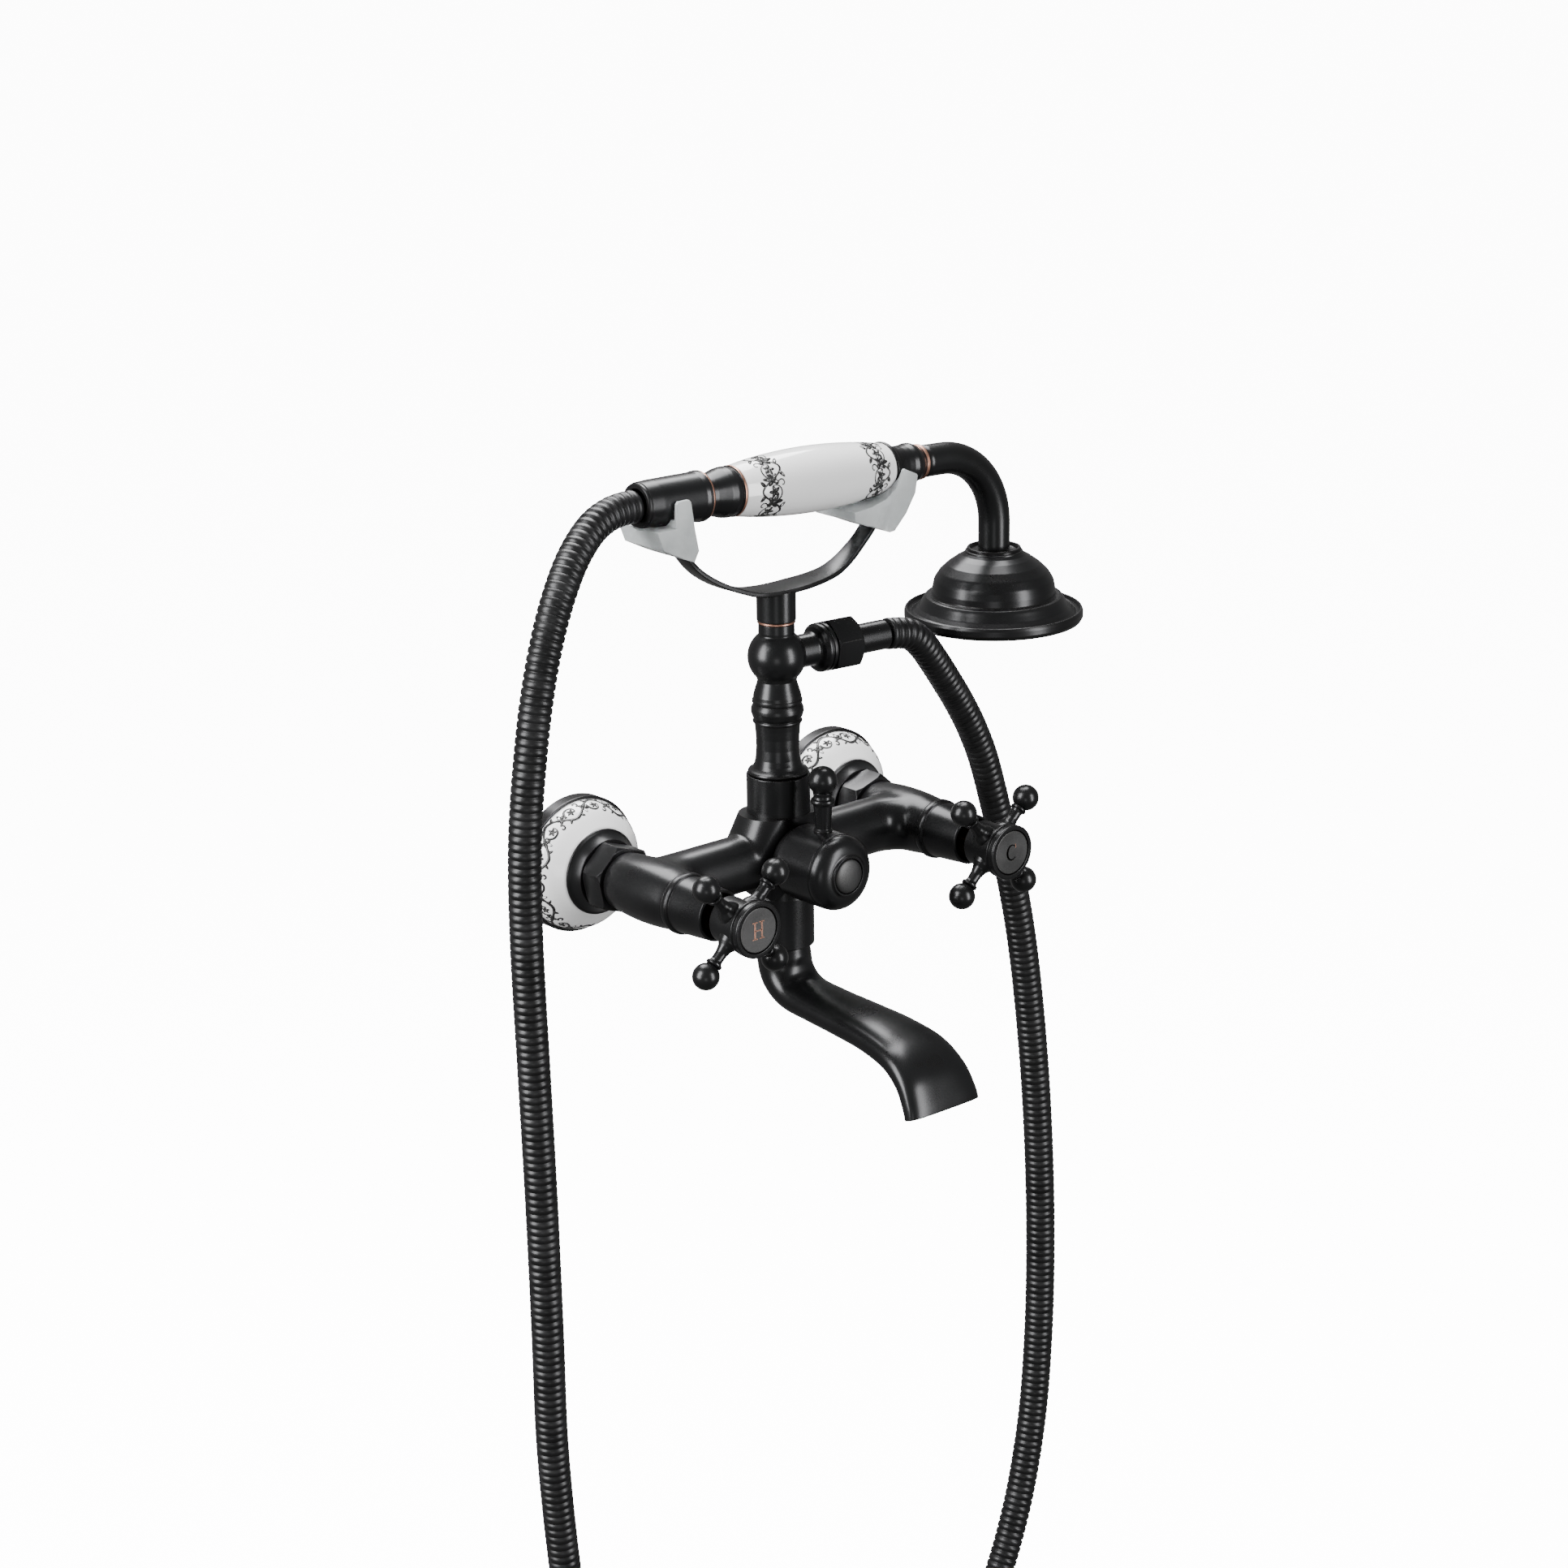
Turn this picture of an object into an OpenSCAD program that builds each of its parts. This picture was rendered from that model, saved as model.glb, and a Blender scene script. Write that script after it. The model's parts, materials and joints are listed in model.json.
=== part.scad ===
// Wall-mounted bath mixer with riser, cradle, telephone hand shower and hose.
// Origin on the wall, midway between the two inlets. +X right, +Z up, the wall faces -Y.

/* [Inlets and flanges] */
// Distance between the hot and cold centres
inlet_spacing = 150; // [140:1:160]
// Outside radius of the wall tail's thread
tail_r = 10.48; // [8:0.02:12]
// Length of the tail that enters the wall
tail_len = 15; // [10:1:25]
// Radius of the water way through the unions
water_r = 6.5; // [5:0.1:7]
// Outside radius of the thread that the coupling nut turns on
union_r = 13.1; // [12:0.1:13.6]
// Outside radius of the flange's metal cup
cup_r = 31; // [26:0.5:34]
// Depth of the metal cup
cup_depth = 6.2; // [4:0.2:8]
// Wall of the metal cup
cup_wall = 1.2; // [0.8:0.1:2]
// Distance from the wall to the front of the ceramic ring
ring_front = 20; // [16:0.5:21]
// Base radius of the dark collar on the ceramic ring
collar_r = 19.4; // [17:0.1:21]

/* [Valve arms] */
// Distance from the wall to the front of the coupling nut
nut_front = 37.6; // [36.5:0.1:38]
// Length of the coupling nut
nut_len = 12; // [11:0.1:12]
// Corner radius of the coupling nut
nut_corner_r = 16.2; // [15.6:0.1:18]
// Widest radius of a valve arm
arm_r = 14.3; // [13.6:0.1:16]
// Distance from the wall to the end of the cast arm
arm_front = 76; // [74:0.5:80]
// Length of the valve sleeve
sleeve_len = 25; // [22:0.5:30]
// Radius of the sleeve at its front
sleeve_front_r = 11.4; // [11:0.1:12]
// Radius of the valve cartridge
cartridge_r = 8.8; // [7.5:0.1:9.2]
// Radius of the valve stem
stem_r = 3.5; // [3:0.1:4.5]

/* [Cross handles] */
// Gap between the sleeve and the handle
handle_gap = 4.4; // [2:0.2:6]
// Length of a handle's hub, back to front
hub_len = 20.8; // [19:0.2:24]
// Radius of the hub
hub_r = 10.2; // [9.4:0.1:11]
// Radius of the face rim
face_r = 12.5; // [11.6:0.1:14]
// Radius of the index button
index_r = 10.2; // [8:0.1:10.6]
// Distance from the handle's axis to a ball's centre
ball_reach = 27.3; // [24:0.1:32]
// Radius of the balls on the spokes
ball_r = 5.95; // [5:0.05:7]
// Thinnest radius of a spoke
spoke_r = 2.6; // [2.2:0.1:3.4]

/* [Body] */
// Distance from the wall to the bridge and the riser
bridge_y = 54; // [52:0.5:56]
// Radius of the bridge
bridge_r = 12.8; // [12:0.1:13.4]
// Radius of the riser's socket
socket_r = 14.2; // [13.6:0.1:16]
// Height of the top of the riser's socket
socket_top = 37.3; // [34:0.1:42]
// Distance from the wall to the spout's axis
spout_y = 56; // [54:0.5:58]
// Depth of the spout's socket below the valve axes
spout_socket_z = 41.8; // [38:0.2:46]

/* [Diverter] */
// Radius of the diverter cap
cap_r = 17.1; // [16:0.1:19]
// Distance from the wall to the back of the cap
cap_back = 70.8; // [70.6:0.1:72]
// Length of the cap's straight side
cap_side = 21.8; // [20:0.2:26]
// Height of the cap's domed end
cap_dome = 7.4; // [6:0.2:10]
// Radius of the ring around the diverter's centre button
button_ring_r = 9.1; // [8:0.1:10]
// Height of the lever's ball above the valve axes
lever_z = 40.3; // [36:0.5:48]
// Radius of the lever's ball
lever_ball_r = 6.5; // [5.5:0.1:7.5]

/* [Riser] */
// Height of the hose outlet
outlet_z = 91; // [84:0.5:100]
// Radius of the riser's ball
riser_ball_r = 13; // [12:0.1:15]
// Radius of the riser's plain shaft
riser_r = 9.7; // [9.2:0.1:10.5]
// Corner radius of the hose nut
hose_nut_r = 12.7; // [12.4:0.1:14]
// Length of the ferrule at the riser
ferrule_len = 19.8; // [19.8:0.1:20]

/* [Cradle] */
// Height of the underside of the cradle's strap
strap_z = 120.3; // [118:0.1:124]
// Width of the strap
strap_w = 16; // [12:0.5:18]
// Width of the strap at its ends
strap_end_w = 9; // [7:0.5:12]
// Thickness of the strap
strap_t = 2.2; // [1.8:0.1:3]
// Radius of the cradle's stem
cradle_stem_r = 8.75; // [8:0.05:10]
// Wall of the plastic hooks
hook_wall = 1.6; // [1.2:0.1:2.4]

/* [Hand shower] */
// Height of the handle's axis above the riser
grip_z = 168.2; // [167:0.1:172]
// Tilt of the handle, head end down
grip_tilt = 2.68; // [0:0.01:4]
// Widest radius of the ceramic grip
grip_r = 14.7; // [13.5:0.1:16]
// Radius of the grip's ends
grip_end_r = 11.1; // [10.6:0.1:12]
// Radius of the bent neck tube
neck_r = 7.3; // [6.4:0.1:7.5]
// Bend radius of the neck
neck_bend = 35; // [28:0.5:37]
// Distance from the riser to the centre of the head
head_x = 133.5; // [130:0.5:145]
// Radius of the head's rolled rim
head_r = 41.4; // [36:0.1:46]
// Height of the lowest edge of the head
head_z = 83; // [80:0.1:86]
// Height of the head, rim to collar
head_h = 34.6; // [32:0.1:38]

/* [Hose] */
// Outside diameter of the hose
hose_d = 14.4; // [12:0.1:14.5]

/* [Fits] */
// Thickness of the O-rings on the spout and the riser
o_ring_d = 2.6; // [2:0.1:3]
// Gap of a turning fit, on the radius
fit = 0.08; // [0.05:0.01:0.1]
// Gap between bodies that move past each other
gap = 0.4; // [0.3:0.05:0.6]

/* [Hidden] */
$fn = 72;
BLACK = [0.06, 0.055, 0.05];
WHITE = [0.93, 0.93, 0.91];
BRASS = [0.72, 0.58, 0.33];
RUBBER = [0.1, 0.1, 0.1];
STEEL = [0.7, 0.7, 0.72];
CLEAR = [0.8, 0.82, 0.82];

half = inlet_spacing / 2;
nut_back = nut_front - nut_len;
lip_back = nut_front - 3.4;
flange_back = lip_back - 2.4;
washer_t = 1.6;
union_front = flange_back - washer_t;
sleeve_front = arm_front + sleeve_len;
hub_back = sleeve_front + handle_gap;
hub_front = hub_back + hub_len;
spoke_t = hub_back + 9.2;
index_back = hub_front - 2.8;
screw_seat = hub_back + 13.6;
stem_front = screw_seat - 3;
cartridge_front = sleeve_front - 3;
cap_front = cap_back + cap_side + cap_dome;
lever_y = cap_back + cap_side - 9;
lever_foot_z = cap_r - 1.4;
spigot_r = socket_r - 2.9;
cradle_ring_z = outlet_z + 15.3;
outlet_turn = 5.71;
collar_s = 20;
thread_s = 26;
thread_end = 36;
hose_s = thread_s + 0.4;
hose_nut_len = 14;
ferrule_s = thread_end + 1.5;
hose_nut_bore = 10.5;
grip_hold_r = grip_end_r + gap;
nozzle_rings = [[0, 1], [9, 6], [18, 12], [27, 18]];

// Every turned piece below is a profile of [radius, distance] points spun about its own axis.
module spun(profile) { rotate_extrude() polygon(profile); }
// Stand a turned piece on an inlet axis: its distance then runs out from the wall.
module on_inlet(side) { translate([side * half, 0, 0]) rotate([90, 0, 0]) children(); }
module on_front(z = 0) { translate([0, 0, z]) rotate([90, 0, 0]) children(); }
module on_riser() { translate([0, -bridge_y, 0]) children(); }
// Lie a turned piece along the hose outlet: its distance then runs out from the riser's axis.
module on_outlet() {
    translate([0, -bridge_y, outlet_z]) rotate([0, 0, -outlet_turn]) rotate([0, 90, 0]) children();
}
// Lie a turned piece along the tilted handle: distance 0 is over the riser.
module on_grip() {
    translate([0, -bridge_y, grip_z]) rotate([0, grip_tilt, 0]) rotate([0, 90, 0]) children();
}
module tube(r_out, r_in, from, to) {
    translate([0, 0, from]) difference() {
        cylinder(r = r_out, h = to - from);
        translate([0, 0, -1]) cylinder(r = r_in, h = to - from + 2);
    }
}
module rod(r, from, to) { translate([0, 0, from]) cylinder(r = r, h = to - from); }
module hex_rod(r, from, to, turn = 0) {
    rotate([0, 0, turn]) translate([0, 0, from]) cylinder(r = r, h = to - from, $fn = 6);
}
// An O-ring on a spigot, and the groove that it sits in.
module o_ring(z) {
    translate([0, 0, z]) rotate_extrude() translate([spigot_r - o_ring_d / 2 - 0.15, 0])
        circle(r = o_ring_d / 2, $fn = 24);
}
module o_ring_groove(z) {
    tube(spigot_r + 1, spigot_r - o_ring_d - 0.2, z - o_ring_d / 2 - 0.2, z + o_ring_d / 2 + 0.2);
}

// ---- inlets and flanges ----
module inlet_union(side) {
    color(BRASS) on_inlet(side) difference() {
        union() {
            rod(tail_r, -tail_len, 0);
            rod(tail_r, 0, 12);
            rod(union_r, 12, union_front);
        }
        rod(water_r, -tail_len - 1, union_front + 1);
    }
}
module flange_cup(side) {
    color(BLACK) on_inlet(side) union() {
        tube(cup_r, tail_r + 2, 0, 1.4);
        tube(cup_r, cup_r - cup_wall, 1.4, cup_depth);
    }
}
module flange_ring(side) {
    edge_r = cup_r - cup_wall - 0.1;
    inner_r = union_r + 1.6;
    seat_r = collar_r + 0.2;
    dome = [for (i = [0:12]) let (u = i / 12)
        [edge_r - (edge_r - seat_r) * u + 2.2 * sin(180 * u),
         cup_depth - 0.4 + (ring_front - cup_depth + 0.4) * u + 1.4 * sin(180 * u) * (1 - u)]];
    color(WHITE) on_inlet(side) spun(concat(
        [[edge_r, 1.4]], dome,
        [[inner_r, ring_front], [inner_r, ring_front - 4], [edge_r - 6, cup_depth - 0.4],
         [edge_r - 6, 1.4]]));
}
module flange_collar(side) {
    h = nut_back - ring_front - 0.2;
    color(BLACK) on_inlet(side) spun([
        [union_r, ring_front], [collar_r, ring_front], [collar_r - 0.2, ring_front + 0.8],
        [collar_r - 1.7, ring_front + 0.42 * h], [collar_r - 3, ring_front + 0.75 * h],
        [collar_r - 3.6, ring_front + h], [union_r, ring_front + h]]);
}
module coupling_nut(side) {
    c = 1.5;
    color(BLACK) on_inlet(side) difference() {
        intersection() {
            hex_rod(nut_corner_r, nut_back, nut_front, side < 0 ? 42 : 18);
            spun([[0, nut_back], [nut_corner_r - c, nut_back], [nut_corner_r + 0.1, nut_back + c],
                  [nut_corner_r + 0.1, nut_front - c], [nut_corner_r - c, nut_front],
                  [0, nut_front]]);
        }
        rod(union_r, nut_back - 1, lip_back);
        rod(10.4, lip_back - 1, nut_front + 1);
    }
}
module inlet_washers() {
    color(RUBBER) for (side = [-1, 1]) on_inlet(side)
        tube(union_r - 0.3, water_r + 0.5, union_front, flange_back);
}

// ---- body ----
module arm(side) {
    steps = 14;
    outline = [for (i = [0:steps]) let (t = nut_front + (arm_front - nut_front) * i / steps)
        [arm_r - 1.45 * pow((t - 57) / 19.4, 2), t]];
    on_inlet(side) union() {
        spun(concat([[0, nut_front]], outline, [[0, arm_front]]));
        rod(10.4, flange_back, nut_front);
        rod(union_r - 0.3, flange_back, lip_back);
    }
}
module elbow(side) {
    bend = arm_front - bridge_y - 1;
    translate([side * (half - bend), -bridge_y - bend, 0])
        mirror([side < 0 ? 1 : 0, 0, 0]) rotate_extrude(angle = 90, $fn = 56)
            translate([bend, 0]) circle(r = bridge_r - 0.1, $fn = 56);
}
module saddle(z_from, z_to, r) {
    hull() {
        translate([0, 0, z_from]) cylinder(r = r, h = z_to - z_from, $fn = 32);
        for (x = [-1, 1]) translate([x * 22, 0, 0]) rotate([0, 90, 0])
            cylinder(r = bridge_r - 0.2, h = 1, center = true, $fn = 32);
    }
}
module body_casting() {
    color(BLACK) difference() {
        union() {
            for (side = [-1, 1]) arm(side);
            for (side = [-1, 1]) elbow(side);
            on_riser() {
                translate([-half, 0, 0]) rotate([0, 90, 0]) cylinder(r = bridge_r, h = inlet_spacing);
                saddle(18, 20, socket_r - 0.2);
                rod(socket_r, 16, socket_top);
                rod(socket_r + 0.6, -14, 16);
            }
            translate([0, -spout_y, 0]) rod(socket_r, -spout_socket_z, -6);
            on_front() rod(15.6, bridge_y, cap_back - gap);
        }
        for (side = [-1, 1]) on_inlet(side) {
            rod(water_r + 0.5, flange_back - 1, arm_front);
            rod(cartridge_r, arm_front - 17.5, arm_front + 1);
        }
        on_riser() rotate([0, 90, 0]) rod(6, -half, half);
        on_riser() rod(6, 0, socket_top);
        on_riser() rod(spigot_r, socket_top - 13, socket_top + 1);
        translate([0, -spout_y, 0]) rod(6, -spout_socket_z, 0);
        translate([0, -spout_y, 0]) rod(spigot_r, -spout_socket_z - 1, -spout_socket_z + 14);
        on_front() rod(cartridge_r, bridge_y + 2, cap_back + 1);
        on_riser() translate([0, 0, socket_top - 4]) grub_axis() rod(1.6, 8, socket_r + 2);
        translate([0, -spout_y, -spout_socket_z + 4]) grub_axis() rod(1.6, 8, socket_r + 2);
    }
}
// The locking screws enter the sockets from the left, towards the wall.
module grub_axis() { rotate([0, 0, 160]) rotate([0, 90, 0]) children(); }
module grub_screw(y, z) {
    color(STEEL) translate([0, -y, z]) grub_axis() difference() {
        rod(1.6, spigot_r + gap, socket_r - 0.6);
        hex_rod(0.9, socket_r - 1.8, socket_r);
    }
}

// ---- valves ----
module valve_sleeve(side) {
    r = arm_r - 1.5;
    color(BLACK) on_inlet(side) spun([
        [cartridge_r, arm_front], [r, arm_front], [r, arm_front + 0.9], [r + 0.5, arm_front + 1.3],
        [r + 0.9, arm_front + 2.2], [r + 0.9, arm_front + 3.8], [r + 0.5, arm_front + 4.8],
        [r - 0.1, arm_front + 5.4], [r - 0.2, arm_front + 6.2],
        [sleeve_front_r, sleeve_front - 0.6], [sleeve_front_r - 0.5, sleeve_front],
        [sleeve_front_r - 1.4, sleeve_front], [sleeve_front_r - 1.4, arm_front + 1.6],
        [cartridge_r, arm_front + 1.6]]);
}
module valve_cartridge(side) {
    color(BRASS) on_inlet(side) difference() {
        union() {
            rod(cartridge_r, arm_front - 16, arm_front + 1.6);
            rod(cartridge_r - 0.6, arm_front + 1.6, arm_front + 12);
            rod(cartridge_r - 2, arm_front + 12, cartridge_front);
        }
        rod(stem_r + fit, arm_front - 4, cartridge_front + 1);
        rod(3, arm_front - 17, arm_front - 4.5);
    }
}
module valve_stem(side) {
    color(BRASS) on_inlet(side) difference() {
        rod(stem_r, arm_front - 3.6, stem_front);
        rod(1.9, hub_back - 2, stem_front + 1);
    }
}
module spoke() {
    root = hub_r - 1.2;
    tip = ball_reach - ball_r;
    spun([[0, root], [5.2, root], [4.5, hub_r + 0.8], [3.5, hub_r + 2.6], [spoke_r + 0.25, hub_r + 4.6],
          [spoke_r, tip - 2.2], [spoke_r + 0.5, tip - 1.2], [3.7, tip - 0.6], [3.7, tip + 0.4],
          [0, tip + 0.4]]);
    translate([0, 0, ball_reach]) sphere(r = ball_r);
}
module cross_handle(side) {
    color(BLACK) on_inlet(side) difference() {
        union() {
            spun([[0, hub_back], [hub_r - 0.5, hub_back], [hub_r, hub_back + 0.5],
                  [hub_r, hub_front - 6.4], [face_r - 0.9, hub_front - 5.4],
                  [face_r - 0.1, hub_front - 4.7], [face_r - 0.1, hub_front - 3.6],
                  [face_r - 0.8, hub_front - 3.2], [face_r - 0.8, hub_front - 2.7],
                  [face_r, hub_front - 2.3], [face_r, hub_front - 0.5], [face_r - 0.5, hub_front],
                  [0, hub_front]]);
            for (a = [45:90:315]) translate([0, 0, spoke_t]) rotate([0, 90, a]) spoke();
        }
        rod(stem_r, hub_back - 1, stem_front);
        rod(2.1, stem_front - 1, screw_seat + 1);
        rod(5, screw_seat, index_back + 1);
        rod(index_r, index_back, hub_front + 1);
    }
}
module handle_screw(side) {
    color(STEEL) on_inlet(side) difference() {
        union() {
            rod(1.9, hub_back - 1, screw_seat);
            rod(4, screw_seat, screw_seat + 2.4);
        }
        hex_rod(1.6, screw_seat + 0.8, screw_seat + 3);
    }
}
module index_button(side) {
    color(BLACK) on_inlet(side)
        spun([[0, index_back], [index_r - 0.25, index_back], [index_r - 0.25, hub_front - 0.7],
              [index_r - 0.7, hub_front - 0.4], [0, hub_front - 0.4]]);
}

// ---- diverter ----
module diverter_cartridge() {
    color(BRASS) on_front() difference() {
        union() {
            rod(cartridge_r, bridge_y + 2.4, cap_back - gap);
            rod(cartridge_r - 1, cap_back - gap, cap_back + 6);
        }
        rod(4 + fit, cap_back - 8, cap_back + 7);
    }
}
module diverter_stem() {
    color(BRASS) on_front() difference() {
        rod(4, cap_back - 7.6, cap_back + 14);
        rod(1.9, cap_back + 6, cap_back + 15);
    }
}
module diverter_cap() {
    seam = cap_back + cap_side;
    steps = 10;
    dome = [for (i = [0:steps]) let (u = 90 * i / steps)
        [button_ring_r + (cap_r - button_ring_r) * cos(u), seam + 0.5 + (cap_dome - 0.5) * sin(u)]];
    color(BLACK) on_front() difference() {
        spun(concat(
            [[cap_r - 1.6, cap_back], [cap_r - 0.4, cap_back], [cap_r, cap_back + 0.4],
             [cap_r, seam - 0.3], [cap_r - 0.3, seam], [cap_r - 0.1, seam + 0.3]], dome,
            [[button_ring_r, cap_front + 0.5], [button_ring_r - 1.1, cap_front + 0.5],
             [button_ring_r - 1.1, cap_front - 2.4], [5.2, cap_front - 2.4],
             [5.2, cap_back + 17], [2.1, cap_back + 17], [2.1, cap_back + 14],
             [4, cap_back + 14], [4, cap_back + 7], [9.4, cap_back + 7],
             [9.4, cap_back + 9], [cap_r - 1.6, cap_back + 9]]));
        translate([0, lever_foot_z - 4, lever_y]) rotate([-90, 0, 0]) cylinder(r = 2, h = 12);
    }
}
module diverter_lever() {
    tip = lever_z - lever_ball_r;
    color(BLACK) translate([0, -lever_y, 0]) union() {
        rod(2, lever_foot_z - 3.4, cap_r + 2);
        difference() {
            spun([[0, cap_r - 2], [3.9, cap_r - 2], [4.1, cap_r + 0.7], [3.4, cap_r + 1.3],
                  [4.3, tip - 4.6], [4.5, tip - 4.2], [5.2, tip - 3.6], [5.4, tip - 2.8],
                  [5.2, tip - 2], [4.4, tip - 1.6], [4, tip - 0.6], [4, tip + 1.5],
                  [0, tip + 1.5]]);
            rotate([90, 0, 0]) cylinder(r = cap_r, h = 20, center = true);
        }
        translate([0, 0, lever_z]) sphere(r = lever_ball_r);
    }
}
module diverter_screw() {
    color(STEEL) on_front() difference() {
        union() {
            rod(1.9, cap_back + 8, cap_back + 17);
            rod(4, cap_back + 17, cap_back + 19.4);
        }
        hex_rod(1.6, cap_back + 17.8, cap_back + 20);
    }
}
module diverter_button() {
    r = button_ring_r - 1.35;
    color(BLACK) on_front() spun(concat(
        [[0, cap_front - 2.4], [r, cap_front - 2.4], [r, cap_front + 0.1]],
        [for (i = [1:6]) [r * cos(15 * i), cap_front + 0.1 + 1.7 * sin(15 * i)]]));
}

// ---- spout: a flat, widening S-bend, lofted through these sections ----
// Each row is [distance from the wall, height, lean from straight down, half depth, half width,
// squareness].
SPOUT = [
    [spout_y, -spout_socket_z - gap, 0, spigot_r + 1, spigot_r + 1, 2],
    [56.4, -47, 5, 12.4, 12.4, 2],
    [59.3, -56.4, 34, 10.8, 12.7, 2.1],
    [68.4, -62.8, 70, 8.2, 13.2, 2.2],
    [84, -64.6, 86, 7.2, 14, 2.3],
    [104, -65.8, 86, 7, 15, 2.4],
    [124, -67.4, 82, 6.9, 16.4, 2.5],
    [141, -71, 66, 6.8, 17.9, 2.7],
    [152, -78.2, 40, 6.3, 19.2, 2.9],
    [157.6, -86.8, 24, 5.6, 20.2, 3.1],
    [159.6, -92.2, 18, 5.1, 20.6, 3.2]];
// A value from a list that runs smoothly through its entries (a Catmull-Rom spline).
function spline(list, i, u) =
    let (n = len(list) - 1, a = list[max(i - 1, 0)], b = list[i], c = list[min(i + 1, n)],
         d = list[min(i + 2, n)])
    0.5 * (2 * b + (c - a) * u + (2 * a - 5 * b + 4 * c - d) * u * u
           + (3 * b - a - 3 * c + d) * u * u * u);
function smooth(list, steps) = concat(
    [for (i = [0:len(list) - 2]) for (k = [0:steps - 1]) spline(list, i, k / steps)],
    [list[len(list) - 1]]);
function signed_pow(x, p) = x < 0 ? -pow(-x, p) : pow(x, p);
function section(s, count) = [for (k = [0:count - 1]) let (
        a = 360 * k / count, e = 2 / s[5],
        w = s[4] * signed_pow(cos(a), e), d = s[3] * signed_pow(sin(a), e))
    [w, -s[0] - d * cos(s[2]), s[1] + d * sin(s[2])]];
module loft(rings) {
    n = len(rings[0]);
    m = len(rings);
    polyhedron(
        points = [for (ring = rings) for (p = ring) p],
        faces = concat(
            [[for (k = [0:n - 1]) k]],
            [for (j = [0:m - 2]) for (k = [0:n - 1])
                [j * n + k, (j + 1) * n + k, (j + 1) * n + (k + 1) % n, j * n + (k + 1) % n]],
            [[for (k = [n - 1:-1:0]) (m - 1) * n + k]]));
}
module spout() {
    mouth = SPOUT[len(SPOUT) - 1];
    color(BLACK) difference() {
        union() {
            loft([for (s = smooth(SPOUT, 3)) section(s, 28)]);
            translate([0, -spout_y, 0])
                rod(spigot_r - fit, -spout_socket_z - 2, -spout_socket_z + 13);
        }
        translate([0, -spout_y, 0]) o_ring_groove(-spout_socket_z + 9);
        translate([0, -spout_y, 0]) rod(6, -spout_socket_z - 8, -spout_socket_z + 14);
        translate([0, -mouth[0], mouth[1]]) rotate([-mouth[2], 0, 0])
            translate([-17, -3.1, -4]) cube([34, 6.2, 18]);
    }
}
module spout_o_ring() {
    color(RUBBER) translate([0, -spout_y, 0]) o_ring(-spout_socket_z + 9);
}

// ---- riser ----
module riser_column() {
    base = socket_top;
    neck_z = outlet_z - riser_ball_r + 2.7;
    bead_z = 67;
    color(BLACK) on_riser() difference() {
        union() {
            rod(spigot_r - fit, base - 12.6, base + gap);
            spun([[0, base + gap], [13.2, base + gap], [13.5, base + 1], [13.3, base + 1.9],
                  [12.4, base + 2.6], [11.4, base + 3.4], [10.7, base + 4.8], [10.1, base + 7.2],
                  [riser_r, base + 12], [riser_r, base + 17], [riser_r + 0.35, base + 21.4],
                  [riser_r + 0.6, bead_z - 5.8], [11.1, bead_z - 5.6], [11.1, bead_z - 4.8],
                  [10.5, bead_z - 4.4], [10.8, bead_z - 3.6], [11.5, bead_z - 2],
                  [11.8, bead_z], [11.5, bead_z + 1.8], [10.9, bead_z + 2.9],
                  [11.2, bead_z + 3.3], [11.2, bead_z + 4.6], [10.8, bead_z + 5.2],
                  [10.6, bead_z + 7], [9.9, bead_z + 9.4], [9.1, neck_z - 1.4],
                  [8.8, neck_z], [0, neck_z]]);
            rod(8.8, neck_z - 1, outlet_z);
            translate([0, 0, outlet_z]) sphere(r = riser_ball_r);
            rod(8, outlet_z, cradle_ring_z);
            rod(5, outlet_z, cradle_ring_z + 6);
        }
        rod(5.5, base - 13, outlet_z);
        o_ring_groove(base - 6);
    }
    color(BLACK) difference() {
        on_outlet() {
            rod(7.4, riser_ball_r - 3, collar_s);
            spun([[0, collar_s - 0.6], [7.4, collar_s - 0.6], [10.4, collar_s + 1.6],
                  [11, collar_s + 2.2], [11, collar_s + 3.4], [10.3, collar_s + 3.9],
                  [11, collar_s + 4.4], [11, thread_s], [0, thread_s]]);
            rod(hose_nut_bore, thread_s, thread_end);
        }
        on_outlet() rod(5.2, riser_ball_r - 4, thread_end + 1);
    }
}
module riser_o_ring() { color(RUBBER) on_riser() o_ring(socket_top - 6); }
module cradle_lock_ring() {
    color(BRASS) on_riser() tube(8.5, 5, cradle_ring_z, cradle_ring_z + 1.2);
}

// ---- cradle ----
// The strap's underside, as [x, height above strap_z]; its right arm is the steeper one.
STRAP = [
    [-61.2, 36], [-59.3, 33], [-55.7, 27], [-51.9, 22], [-48.2, 18], [-42.6, 13.5], [-34.2, 8.5],
    [-24.5, 4.2], [-16, 1.4], [-8, 0.4], [0, 0], [9, 0.1], [21, 0.8], [31, 2.4], [37.5, 5],
    [42.5, 8], [46.5, 11], [50.7, 14.5], [55.2, 19], [59, 24], [62, 29]];
function normal2(a, b) = let (d = b - a, l = norm(d)) [-d[1] / l, d[0] / l];
function offset_line(list, t) = [for (i = [0:len(list) - 1])
    list[i] + t * normal2(list[max(i - 1, 0)], list[min(i + 1, len(list) - 1)])];
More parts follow.
